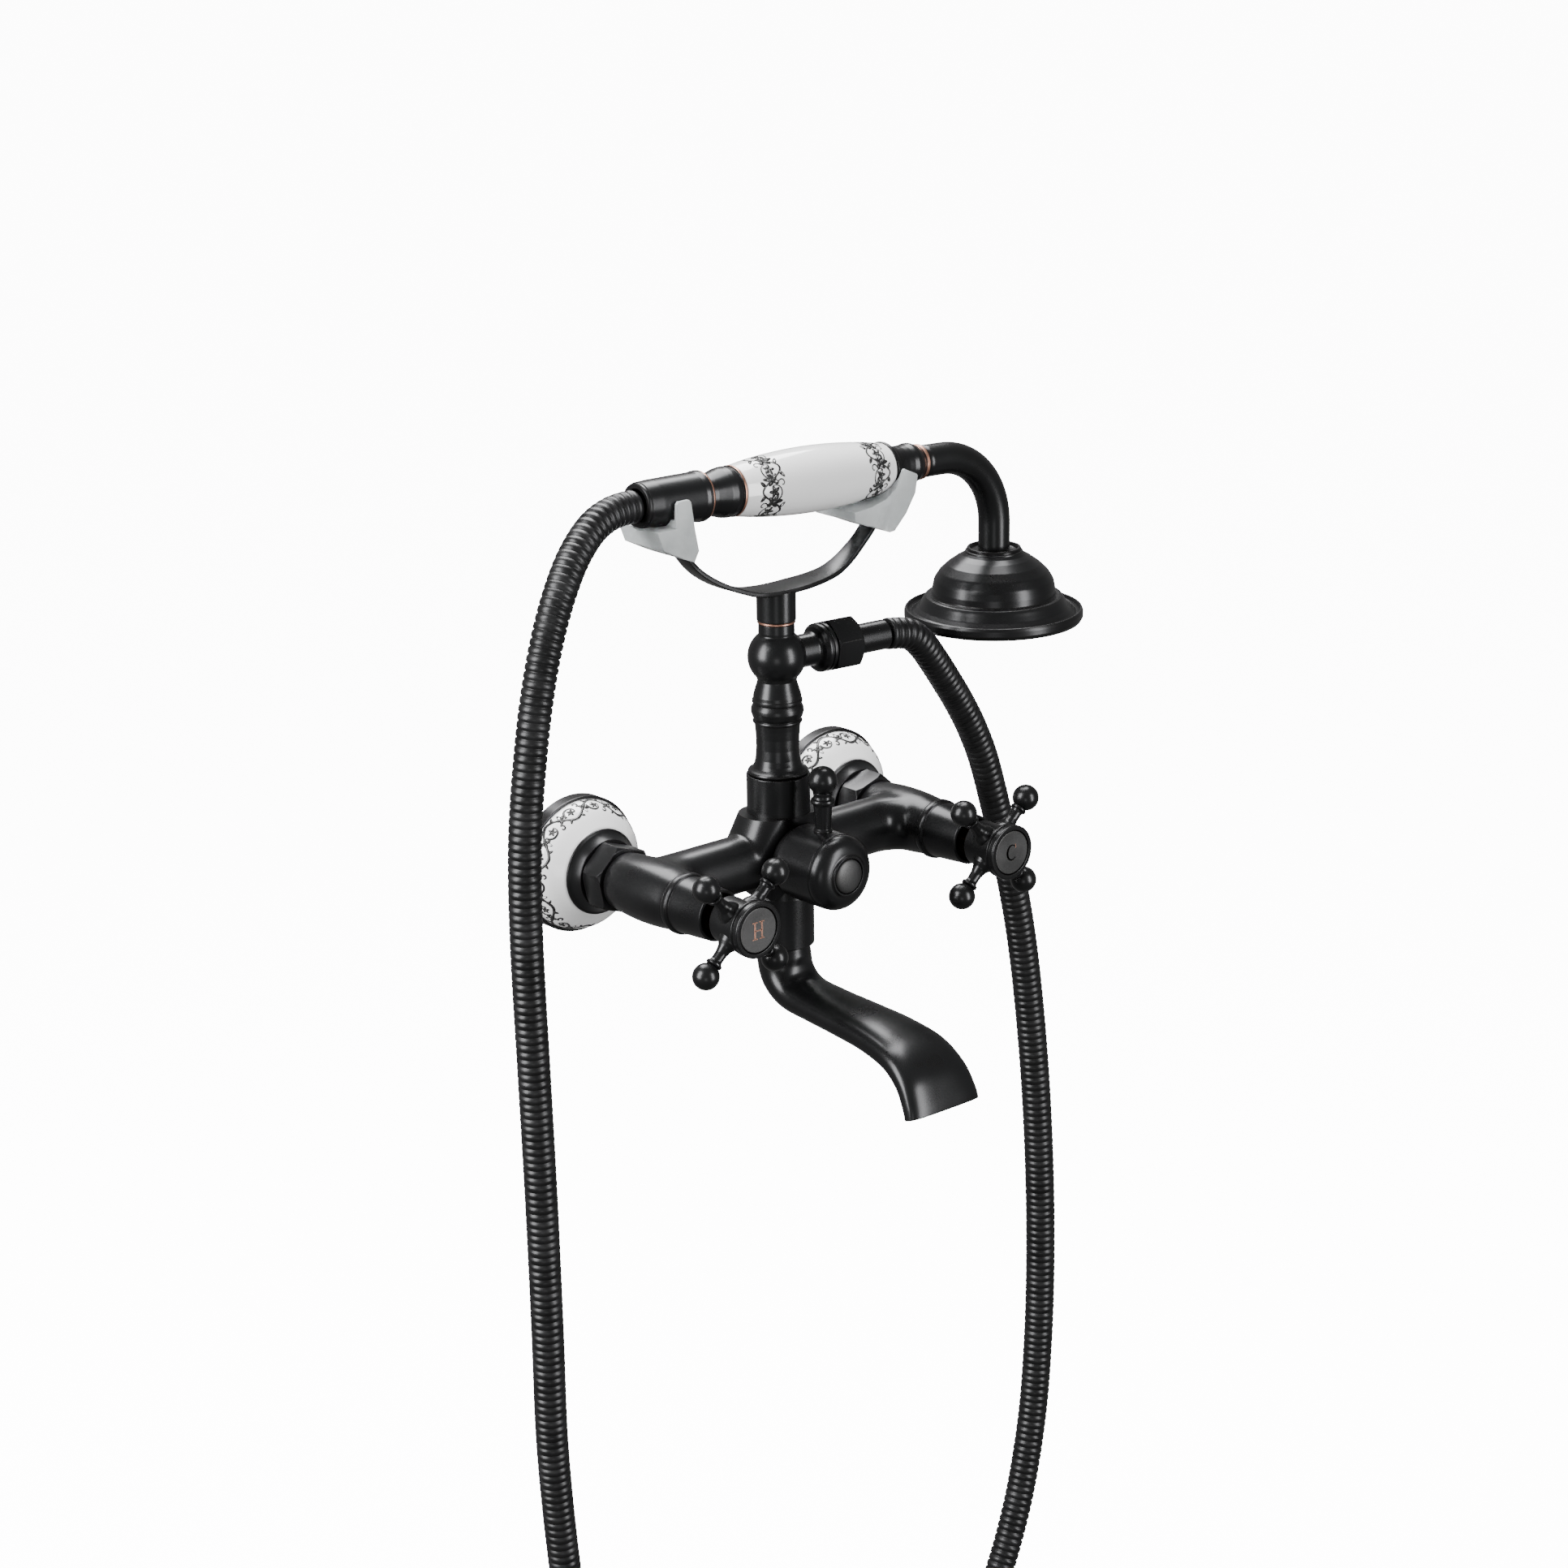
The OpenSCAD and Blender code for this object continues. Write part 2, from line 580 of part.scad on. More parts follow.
// The strap's bar, full width over the stem and narrower towards both ends.
module strap_bar() {
    upper = offset_line(STRAP, strap_t);
    full = strap_w / 2;
    narrow = strap_end_w / 2;
    intersection() {
        translate([0, full, strap_z]) rotate([90, 0, 0]) linear_extrude(height = strap_w)
            polygon(concat(STRAP, [for (i = [len(upper) - 1:-1:0]) upper[i]]));
        linear_extrude(height = strap_z + 60) polygon([
            [-70, -narrow], [-50, -narrow], [-12, -full], [12, -full], [50, -narrow],
            [70, -narrow], [70, narrow], [50, narrow], [12, full], [-12, full],
            [-50, narrow], [-70, narrow]]);
    }
}
module cradle_strap() {
    color(BLACK) on_riser() union() {
        strap_bar();
        difference() {
            rod(cradle_stem_r, cradle_ring_z + 1.2, strap_z + 0.8);
            rod(5, cradle_ring_z, cradle_ring_z + 6);
        }
    }
}
// A hook of soft plastic that clips on a strap end: an outline of [x, height] points, as wide
// as two prongs, with room for the hand shower and open at the top.
HOOK_LEFT = [[-77, 162], [-66.6, 162], [-66, 172.4], [-65, 173.4], [-59.4, 173.4], [-58.4, 172.4],
             [-56.4, 160], [-54.4, 150.5], [-57, 145.8], [-63, 148.4], [-73.6, 153.6]];
HOOK_RIGHT = [[35, 152], [45, 152.8], [54, 155], [60, 159], [64, 166.4], [65, 167], [72.4, 163.6],
              [73, 162.6], [71.6, 155], [66, 146.6], [59, 139.8], [56, 139.6], [47, 143.4],
              [35.6, 147.6]];
module hook(outline) {
    wide = 2 * (grip_hold_r + hook_wall);
    difference() {
        on_riser() translate([0, wide / 2, 0]) rotate([90, 0, 0]) linear_extrude(height = wide)
            polygon(outline);
        on_riser() strap_bar();
        grip_room();
    }
}
// The room that the hand shower takes, with a gap all round, and its way out upwards.
module grip_room() {
    on_grip() {
        rod(grip_hold_r - 0.6, -90, -42);
        rod(grip_hold_r - 0.6, 62, 90);
        spun([[0, -10], [grip_r + gap, 19], [grip_r - 0.7 + gap, 38], [grip_r - 1.9 + gap, 50],
              [grip_end_r + gap, 61.2], [11.7 + gap, 62.4], [11.7 + gap, 65.8], [0, 65.8]]);
    }
    on_riser() translate([-90, -grip_hold_r, grip_z - 3])
        cube([180, 2 * grip_hold_r, 30]);
}
module cradle_hook_left() { color(CLEAR) hook(HOOK_LEFT); }
module cradle_hook_right() { color(CLEAR) hook(HOOK_RIGHT); }

// ---- hose and its fittings at the riser ----
module hose_nut() {
    front = hose_s + hose_nut_len;
    c = 1;
    color(BLACK) on_outlet() difference() {
        intersection() {
            hex_rod(hose_nut_r, hose_s, front, 12);
            spun([[0, hose_s], [hose_nut_r - c, hose_s], [hose_nut_r + 0.1, hose_s + c],
                  [hose_nut_r + 0.1, front - 1.6 * c], [hose_nut_r - 1.8 * c, front], [0, front]]);
        }
        rod(hose_nut_bore, hose_s - 1, ferrule_s + 1.4);
        rod(hose_d / 2 - 0.1, hose_s, front + 1);
    }
}
module hose_washer() {
    color(RUBBER) on_outlet() tube(hose_nut_bore - 0.3, 5, thread_end, ferrule_s);
}
module hose_ferrule() {
    end = hose_s + hose_nut_len + ferrule_len - 0.6;
    color(BLACK) on_outlet() union() {
        tube(hose_nut_bore - 0.3, 5, ferrule_s, ferrule_s + 1.4);
        tube(hose_d / 2 - 0.1, 5, ferrule_s + 1.4, end);
    }
}
// The route of the hose's centre, from the riser's outlet down, round and up to the handle.
ROUTE = [
    [60, -60, 91], [72.4, -61, 88.9], [81.2, -60.6, 82.6], [90.4, -59, 72.6],
    [102, -56.5, 58.9], [111.7, -54.5, 46.6], [122.1, -52.5, 31.1], [133.2, -50.5, 8.5],
    [150.8, -48, -44], [159.9, -48, -84], [165.8, -49, -130], [168.8, -51, -180],
    [170.4, -52, -235], [168.8, -53, -290], [162, -55, -340], [148, -57, -388],
    [125, -59, -432], [92, -61, -467], [52, -63, -488], [8, -65, -496],
    [-36, -66, -489], [-75, -67, -467], [-105.5, -68, -433], [-127.2, -69, -389],
    [-139.8, -70, -340], [-146.7, -71, -290], [-150.8, -71, -235], [-152.2, -72, -180],
    [-153.2, -72, -120], [-154.9, -72, -60], [-156.6, -72, 0], [-155.7, -72, 45],
    [-151, -72, 84], [-144.9, -71, 111], [-137.4, -69, 131], [-128.6, -66, 146],
    [-117.9, -62, 158], [-104.5, -57.5, 167], [-91, -54.5, 171], [-78.6, -54, 171.7]];
HOSE_SIDES = 10;
function unit(v) = v / norm(v);
module hose() {
    path = smooth(ROUTE, 2);
    last = len(path) - 1;
    rings = [for (i = [0:last]) let (
            t = unit(path[min(i + 1, last)] - path[max(i - 1, 0)]),
            a = unit([0, 1, 0] - t[1] * t), b = cross(t, a))
        [for (k = [0:HOSE_SIDES - 1]) let (q = 360 * k / HOSE_SIDES)
            path[i] + hose_d / 2 * (cos(q) * a + sin(q) * b)]];
    color(BLACK) loft([for (ring = rings) [for (k = [HOSE_SIDES - 1:-1:0]) ring[k]]]);
}

// ---- hand shower ----
module hose_cone_nut() {
    color(BLACK) on_grip() difference() {
        spun([[0, -78], [9.1, -78], [9.5, -77.4], [9.5, -76.6], [10, -76], [10.3, -70],
              [10.7, -52], [10.8, -46], [11.1, -45], [11.1, -43.2], [10.7, -42.6], [0, -42.6]]);
        rod(hose_d / 2 + 0.2, -79, -60);
        rod(6, -61, -42);
    }
}
module cone_nut_washer() { color(RUBBER) on_grip() tube(6, 4.5, -60, -58.4); }
module grip_core_tube() { color(BRASS) on_grip() tube(6, 4.5, -58.4, 86); }
module grip_tail_ferrule() {
    color(BLACK) on_grip() spun([
        [6, -42.6], [8.7, -42.6], [8.6, -41], [8.8, -39.4], [9.6, -36.6], [10.5, -33.8],
        [11, -31.4], [11.1, -29], [10.9, -27.2], [10.6, -26.4], [11.2, -26.1], [11.2, -24.8],
        [6, -24.8]]);
}
module ceramic_grip() {
    from = -24.8;
    to = 62.6;
    steps = 24;
    outline = [for (i = [0:steps]) let (s = from + (to - from) * i / steps)
        [grip_r - (grip_r - grip_end_r) * pow((s - 18.9) / 43.7, 2), s]];
    color(WHITE) on_grip() spun(concat([[6.4, from]], outline, [[6.4, to]]));
}
module grip_neck_ferrule() {
    color(BLACK) on_grip() spun([
        [6, 62.6], [11.5, 62.6], [11.7, 63.2], [11.4, 64.4], [10.2, 65.6], [9.2, 67.2],
        [8.8, 69.4], [8.7, 72], [8.8, 75.4], [9.2, 77.4], [9.4, 78.8], [9.1, 80.4], [8.2, 82.4],
        [7.7, 83.6], [7.7, 84.2], [8.1, 84.6], [8.1, 85.6], [7.8, 86], [6, 86]]);
}
function grip_height(x) = grip_z - x * tan(grip_tilt);
neck_s = (head_x - neck_bend * (1 - sin(grip_tilt))) / cos(grip_tilt);
neck_drop_z = grip_height(neck_s * cos(grip_tilt)) - neck_bend * cos(grip_tilt);
module neck_solid(r) {
    on_grip() rod(r, 86, neck_s + 0.5);
    translate([head_x - neck_bend, -bridge_y, neck_drop_z]) rotate([90, 0, 0])
        rotate_extrude(angle = 90 - grip_tilt) translate([neck_bend, 0]) circle(r = r - 0.03);
    translate([head_x, -bridge_y, 0]) rod(r, head_z + head_h - 9, neck_drop_z + 0.5);
}
module neck_tube() {
    color(BLACK) difference() {
        neck_solid(neck_r);
        on_grip() rod(neck_r - 1.6, 85, 100);
        translate([head_x, -bridge_y, 0]) rod(neck_r - 1.6, head_z + head_h - 10, neck_drop_z - 4);
    }
}
module head_shell() {
    top = head_z + head_h;
    dome_r = head_r - 13;
    outline = [
        [head_r - 3, head_z], [head_r - 1.2, head_z + 0.4], [head_r, head_z + 2],
        [head_r, head_z + 4.4], [head_r - 0.8, head_z + 5.6], [head_r - 1.6, head_z + 5.2],
        [head_r - 2.2, head_z + 3.8], [head_r - 3.4, head_z + 4.2], [head_r - 6.2, head_z + 6.4],
        [head_r - 8.2, head_z + 9], [head_r - 9, head_z + 10.6], [head_r - 9.6, head_z + 11.4],
        [head_r - 10.8, head_z + 11.8], [dome_r + 0.2, head_z + 11.4]];
    dome = [for (a = [0:8:56])
        [dome_r * cos(a) + 0.2 * sin(a), head_z + 12.2 + (head_h - 17) * sin(a) * 1.16]];
    color(BLACK) translate([head_x, -bridge_y, 0]) spun(concat(
        outline, dome,
        [[13.2, top - 1.2], [12.6, top], [11.6, top], [10.8, top - 1.4], [neck_r, top - 1.6],
         [neck_r, top - 4.2], [12, top - 4.2], [dome_r - 6, head_z + 22], [dome_r - 2, head_z + 13],
         [dome_r - 2, head_z + 9.6], [head_r - 4.6, head_z + 2.8], [head_r - 4.6, head_z]]));
}
module head_lock_nut() {
    top = head_z + head_h - 4.2;
    color(BRASS) translate([head_x, -bridge_y, 0]) difference() {
        hex_rod(11, top - 4, top);
        rod(neck_r, top - 5, top + 1);
    }
}
module face_seal() {
    color(RUBBER) translate([head_x, -bridge_y, 0])
        tube(head_r - 6.2, head_r - 9, head_z + 2.6, head_z + 3.6);
}
module spray_face() {
    color(STEEL) translate([head_x, -bridge_y, 0]) rod(head_r - 4.8, head_z + 0.8, head_z + 2.6);
}
module spray_nozzles() {
    color(RUBBER) translate([head_x, -bridge_y, 0]) for (ring = nozzle_rings)
        for (k = [0:ring[1] - 1]) rotate([0, 0, 360 * k / ring[1]]) translate([ring[0], 0, 0])
            rod(1.3, head_z - 0.8, head_z + 0.8);
}

inlet_union(-1);  // inlet_union_left
inlet_union(1);  // inlet_union_right
flange_cup(-1);  // flange_cup_left
flange_cup(1);  // flange_cup_right
flange_ring(-1);  // flange_ring_left
flange_ring(1);  // flange_ring_right
flange_collar(-1);  // flange_collar_left
flange_collar(1);  // flange_collar_right
coupling_nut(-1);  // coupling_nut_left
coupling_nut(1);  // coupling_nut_right
inlet_washers();
body_casting();
valve_sleeve(-1);  // valve_sleeve_left
valve_sleeve(1);  // valve_sleeve_right
valve_cartridge(-1);  // valve_cartridge_left
valve_cartridge(1);  // valve_cartridge_right
diverter_cartridge();
grub_screw(bridge_y, socket_top - 4);  // riser_grub_screw
grub_screw(spout_y, -spout_socket_z + 4);  // spout_grub_screw
valve_stem(-1);  // valve_stem_hot
cross_handle(-1);  // cross_handle_hot
handle_screw(-1);  // handle_screw_hot
index_button(-1);  // index_button_hot
valve_stem(1);  // valve_stem_cold
cross_handle(1);  // cross_handle_cold
handle_screw(1);  // handle_screw_cold
index_button(1);  // index_button_cold
diverter_stem();
diverter_cap();
diverter_lever();
diverter_screw();
diverter_button();
spout();
spout_o_ring();
riser_column();
riser_o_ring();
cradle_lock_ring();
cradle_strap();
cradle_hook_left();
cradle_hook_right();
hose_nut();
hose_washer();
hose_ferrule();
hose();
hose_cone_nut();
cone_nut_washer();
grip_tail_ferrule();
grip_core_tube();
ceramic_grip();
grip_neck_ferrule();
neck_tube();
head_shell();
head_lock_nut();
face_seal();
spray_face();
spray_nozzles();
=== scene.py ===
"""The finished look of a wall-mounted bath mixer with a hand shower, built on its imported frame."""
import json
import math

import bmesh
import bpy
from bpy.props import FloatProperty, FloatVectorProperty, IntProperty, PointerProperty
from mathutils import Matrix, Vector


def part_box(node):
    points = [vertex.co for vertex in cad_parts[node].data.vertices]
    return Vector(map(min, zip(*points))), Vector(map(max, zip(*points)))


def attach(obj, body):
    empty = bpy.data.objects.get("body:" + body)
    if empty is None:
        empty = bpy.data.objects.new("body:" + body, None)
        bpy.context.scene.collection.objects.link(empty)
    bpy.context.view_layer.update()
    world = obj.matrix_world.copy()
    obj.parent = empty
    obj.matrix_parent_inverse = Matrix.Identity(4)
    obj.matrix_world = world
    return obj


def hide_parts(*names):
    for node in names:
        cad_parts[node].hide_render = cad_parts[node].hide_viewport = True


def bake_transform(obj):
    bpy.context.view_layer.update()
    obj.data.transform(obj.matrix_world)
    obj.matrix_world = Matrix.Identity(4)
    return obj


bl_info = {
    "name": "Traditional Bath Mixer",
    "version": (1, 0, 0),
    "blender": (4, 5, 0),
    "location": "View3D > Sidebar > Bath Mixer",
    "description": "Builds a wall-mounted bath mixer with a cradle, hand shower and ribbed hose",
    "category": "Add Mesh",
}

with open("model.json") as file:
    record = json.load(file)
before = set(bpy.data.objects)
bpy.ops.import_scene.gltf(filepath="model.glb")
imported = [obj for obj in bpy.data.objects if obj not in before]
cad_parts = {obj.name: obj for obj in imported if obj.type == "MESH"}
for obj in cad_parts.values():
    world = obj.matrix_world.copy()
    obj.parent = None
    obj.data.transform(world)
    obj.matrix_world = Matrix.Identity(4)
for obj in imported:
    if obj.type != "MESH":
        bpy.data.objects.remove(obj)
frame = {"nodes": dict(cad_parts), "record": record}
NODES = frame["nodes"]
MM = 0.001
SIDES = {"left": -1, "right": 1}


# ---- places, read from the frame (millimetres along each turned piece's own axis) ----

def centre(node):
    """The middle of a node's box, in metres."""
    low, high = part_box(node)
    return (low + high) / 2


def out_from_wall(node):
    """How far from the wall a node starts and ends."""
    low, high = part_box(node)
    return -high.y / MM, -low.y / MM


def heights(node):
    """The lowest and highest height of a node."""
    low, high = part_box(node)
    return low.z / MM, high.z / MM


def radius(node):
    """Half a node's width along X."""
    low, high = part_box(node)
    return (high.x - low.x) / 2 / MM


def axis_along(start, end, origin):
    """A matrix that lays a turned piece's axis from start towards end, with 0 at origin."""
    turn = (end - start).to_track_quat("Z", "Y").to_matrix().to_4x4()
    return Matrix.Translation(origin) @ turn


INLET_X = centre("inlet_union_right").x / MM
ARM_BACK, ARM_FRONT = out_from_wall("body_casting")[0], out_from_wall("valve_sleeve_left")[0]
NUT_REACH = 3.4  # how far the coupling nut reaches over the arm's root
SLEEVE_FRONT = out_from_wall("valve_sleeve_left")[1]
HUB_BACK, HUB_FRONT = out_from_wall("cross_handle_hot")
CAP_BACK, CAP_FRONT = out_from_wall("diverter_cap")
CAP_FRONT -= 0.5
RISER = centre("cradle_lock_ring")
RISER.z = 0
BRIDGE_Y = -RISER.y / MM
SPOUT_Y = -centre("spout_o_ring").y / MM
SOCKET_TOP = heights("riser_column")[0] + 12.6
SPOUT_TOP = heights("spout")[1] - 13
CRADLE_RING_Z = heights("cradle_lock_ring")[0]
OUTLET_Z = centre("hose_washer").z
HEAD = centre("spray_face")
HEAD.z = 0
HEAD_Z, HEAD_TOP = heights("head_shell")

FORWARD = Matrix.Rotation(math.radians(90), 4, "X")
INLET_AXIS = {side: Matrix.Translation((sign * INLET_X * MM, 0, 0)) @ FORWARD
              for side, sign in SIDES.items()}
RISER_AXIS = Matrix.Translation(RISER)
SPOUT_AXIS = Matrix.Translation((0, -SPOUT_Y * MM, 0))
HEAD_AXIS = Matrix.Translation(HEAD)
OUTLET_START = Vector((RISER.x, RISER.y, OUTLET_Z))
OUTLET_AXIS = axis_along(OUTLET_START, centre("hose_washer"), OUTLET_START)
GRIP_A, GRIP_B = centre("cone_nut_washer"), centre("grip_neck_ferrule")
GRIP_ORIGIN = GRIP_A + (GRIP_B - GRIP_A) * (-GRIP_A.x / (GRIP_B.x - GRIP_A.x))
GRIP_AXIS = axis_along(GRIP_A, GRIP_B, GRIP_ORIGIN)


# ---- outlines and turned shapes ----

def rounded(outline, closed=False, corner=0.25, steps=4):
    """The outline's (radius, distance[, corner radius]) points with their corners rounded."""
    count = len(outline)
    result = []
    for i, entry in enumerate(outline):
        point = Vector(entry[:2])
        if not closed and i in (0, count - 1):
            result.append(point)
            continue
        back = Vector(outline[i - 1][:2]) - point
        ahead = Vector(outline[(i + 1) % count][:2]) - point
        size = entry[2] if len(entry) > 2 else corner
        turn = back.angle(ahead)
        if turn > math.radians(172) or size <= 0:
            result.append(point)
            continue
        reach = min(size / math.tan(turn / 2), 0.45 * back.length, 0.45 * ahead.length)
        start, end = point + back.normalized() * reach, point + ahead.normalized() * reach
        for k in range(steps + 1):
            u = k / steps
            result.append(start * (1 - u) ** 2 + point * 2 * u * (1 - u) + end * u * u)
    return result


def guarded(points, closed=False, margin=0.22):
    """Adds points near both ends of long straights, so that smooth shading stays flat."""
    pairs = list(zip(points, points[1:] + points[:1]))
    if not closed:
        pairs.pop()
    result = []
    for a, b in pairs:
        result.append(a)
        step = b - a
        if step.length > 5 * margin:
            result.append(a + step.normalized() * margin)
            result.append(b - step.normalized() * margin)
    if not closed:
        result.append(points[-1])
    return result


def curve_through(points, steps=6):
    """Points along a smooth curve (Catmull-Rom) through the given ones."""
    points = [Vector(p) for p in points]
    last = len(points) - 1
    result = []
    for i in range(last):
        a, b = points[max(i - 1, 0)], points[i]
        c, d = points[i + 1], points[min(i + 2, last)]
        for k in range(steps):
            u = k / steps
            result.append(0.5 * (2 * b + (c - a) * u + (2 * a - 5 * b + 4 * c - d) * u * u
                                 + (3 * b - a - 3 * c + d) * u ** 3))
    result.append(points[-1])
    return result


def turn_outward(bm):
    """Turns every face's normal out of its shape."""
    bmesh.ops.recalc_face_normals(bm, faces=bm.faces[:])


def bridge(bm, loops):
    """Joins each closed ring of edges to the next one."""
    for a, b in zip(loops, loops[1:]):
        bmesh.ops.bridge_loops(bm, edges=a + b)


def close(bm, *loops):
    """Fills closed rings of edges with a face each."""
    for loop in loops:
        bmesh.ops.holes_fill(bm, edges=loop, sides=0)


def quarter(inner, base, across, up, steps=12):
    """Outline points of a quarter oval that rises from its widest place."""
    return [(inner + across * math.cos(angle), base + up * math.sin(angle), 0)
            for angle in (math.pi / 2 * k / steps for k in range(steps + 1))]


def turned(outline, axis, closed=False, corner=0.25, segments=96, tints=()):
    """A bmesh turned from an outline; tints are (from, to, smallest radius, material number)."""
    points = guarded(rounded(outline, closed, corner), closed)
    bm = bmesh.new()
    verts = [bm.verts.new((r * MM, 0, t * MM)) for r, t in points]
    pairs = list(zip(verts, verts[1:] + verts[:1]))
    if not closed:
        pairs.pop()
    edges = [bm.edges.new(pair) for pair in pairs]
    bmesh.ops.spin(bm, geom=verts + edges, cent=(0, 0, 0), axis=(0, 0, 1), dvec=(0, 0, 0),
                   angle=math.tau, steps=segments, use_merge=True, use_duplicate=False)
    bmesh.ops.remove_doubles(bm, verts=bm.verts[:], dist=2e-6)
    turn_outward(bm)
    for low, high, smallest, number in tints:
        for face in bm.faces:
            spot = face.calc_center_median() / MM
            if low <= spot.z <= high and math.hypot(spot.x, spot.y) >= smallest:
                face.material_index = number
    bm.transform(axis)
    return bm


def ball(size, axis, segments=48):
    """A sphere of radius size at an axis's origin."""
    bm = bmesh.new()
    bmesh.ops.create_uvsphere(bm, u_segments=segments, v_segments=segments // 2,
                              radius=size * MM)
    bm.transform(axis)
    return bm


def joined(parts):
    """One bmesh that holds all the parts."""
    whole = bmesh.new()
    for part in parts:
        mesh = bpy.data.meshes.new("part")
        part.to_mesh(mesh)
        part.free()
        whole.from_mesh(mesh)
        bpy.data.meshes.remove(mesh)
    return whole


def piece(name, bm, smooth=True):
    """An object at the origin that holds the bmesh."""
    mesh = bpy.data.meshes.new(name)
    bm.to_mesh(mesh)
    bm.free()
    for face in mesh.polygons:
        face.use_smooth = smooth
    obj = bpy.data.objects.new(name, mesh)
    bpy.context.scene.collection.objects.link(obj)
    return obj


def fit_out(obj, body, slot, materials, *stands_for):
    """Gives a piece its materials, its body and the nodes that it stands for."""
    for material in materials:
        obj.data.materials.append(material)
    if body:
        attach(obj, body)
    if stands_for:
        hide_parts(*stands_for)
    return obj


def black_piece(name, bm, body, *stands_for, finish="black"):
    """A piece of plated metal on its body."""
    return fit_out(piece(name, bm), body, "black_metal", [material(finish)], *stands_for)


def applied(obj):
    """Replaces a piece's mesh by what its modifiers make of it."""
    graph = bpy.context.evaluated_depsgraph_get()
    mesh = bpy.data.meshes.new_from_object(obj.evaluated_get(graph))
    obj.modifiers.clear()
    old, obj.data = obj.data, mesh
    bpy.data.meshes.remove(old)
    return obj


def softened_copy(node, name, bevel=0.3, angle=25):
    """A copy of a node's solid with its sharp edges rounded."""
    mesh = NODES[node].data.copy()
    bm = bmesh.new()
    bm.from_mesh(mesh)
    bpy.data.meshes.remove(mesh)
    bmesh.ops.remove_doubles(bm, verts=bm.verts[:], dist=2e-6)
    bmesh.ops.dissolve_limit(bm, angle_limit=math.radians(1), verts=bm.verts[:],
                             edges=bm.edges[:])
    obj = piece(name, bm)
    edge = obj.modifiers.new("Rounded edges", "BEVEL")
    edge.width = bevel * MM
    edge.segments = 3
    edge.angle_limit = math.radians(angle)
    edge.harden_normals = True
    return obj


# ---- shader node groups and materials ----

def new_group(name, inputs, outputs):
    """An empty shader group with the given float inputs and outputs."""
    group = bpy.data.node_groups.new(name, "ShaderNodeTree")
    for label, value in inputs:
        group.interface.new_socket(label, in_out="INPUT",
                                   socket_type="NodeSocketFloat").default_value = value
    for label in outputs:
        group.interface.new_socket(label, in_out="OUTPUT", socket_type="NodeSocketFloat")
    return group, group.nodes.new("NodeGroupInput"), group.nodes.new("NodeGroupOutput")


def grain_group():
    """Uneven gloss and a fine height from noise in the piece's own coordinates."""
    group, inside, outside = new_group(
        "Surface Grain", [("Scale", 60), ("Fine Scale", 900), ("Low", 0.3), ("High", 0.4)],
        ["Roughness", "Height", "Mask"])
    place = group.nodes.new("ShaderNodeTexCoord")
    broad = group.nodes.new("ShaderNodeTexNoise")
    fine = group.nodes.new("ShaderNodeTexNoise")
    spread = group.nodes.new("ShaderNodeMapRange")
    broad.inputs["Detail"].default_value = 5
    fine.inputs["Detail"].default_value = 3
    spread.inputs["From Min"].default_value = 0.3
    spread.inputs["From Max"].default_value = 0.7
    link = group.links.new
    link(place.outputs["Object"], broad.inputs["Vector"])
    link(place.outputs["Object"], fine.inputs["Vector"])
    link(inside.outputs["Scale"], broad.inputs["Scale"])
    link(inside.outputs["Fine Scale"], fine.inputs["Scale"])
    link(broad.outputs["Fac"], spread.inputs["Value"])
    link(inside.outputs["Low"], spread.inputs["To Min"])
    link(inside.outputs["High"], spread.inputs["To Max"])
    link(spread.outputs["Result"], outside.inputs["Roughness"])
    link(fine.outputs["Fac"], outside.inputs["Height"])
    link(broad.outputs["Fac"], outside.inputs["Mask"])
    return group


def finish_material(name, dark, light, metallic, gloss, scale=60, fine=900, bump=0.02, **extra):
    """A Principled material between two colours, with gloss (low, high) from the grain group."""
    material = bpy.data.materials.new(name)
    material.use_nodes = True
    nodes, link = material.node_tree.nodes, material.node_tree.links.new
    shader = nodes["Principled BSDF"]
    grain = nodes.new("ShaderNodeGroup")
    grain.node_tree = bpy.data.node_groups.get("Surface Grain") or grain_group()
    grain.inputs["Scale"].default_value = scale
    grain.inputs["Fine Scale"].default_value = fine
    grain.inputs["Low"].default_value = gloss[0]
    grain.inputs["High"].default_value = gloss[1]
    tone = nodes.new("ShaderNodeValToRGB")
    tone.color_ramp.elements[0].position = 0.35
    tone.color_ramp.elements[0].color = (*dark, 1)
    tone.color_ramp.elements[1].position = 0.65
    tone.color_ramp.elements[1].color = (*light, 1)
    relief = nodes.new("ShaderNodeBump")
    relief.inputs["Strength"].default_value = bump
    relief.inputs["Distance"].default_value = 0.0004
    link(grain.outputs["Mask"], tone.inputs["Fac"])
    link(tone.outputs["Color"], shader.inputs["Base Color"])
    link(grain.outputs["Roughness"], shader.inputs["Roughness"])
    link(grain.outputs["Height"], relief.inputs["Height"])
    link(relief.outputs["Normal"], shader.inputs["Normal"])
    shader.inputs["Metallic"].default_value = metallic
    for socket, value in extra.items():
        shader.inputs[socket.replace("_", " ")].default_value = value
    material.diffuse_color = (*light, 1)
    return material


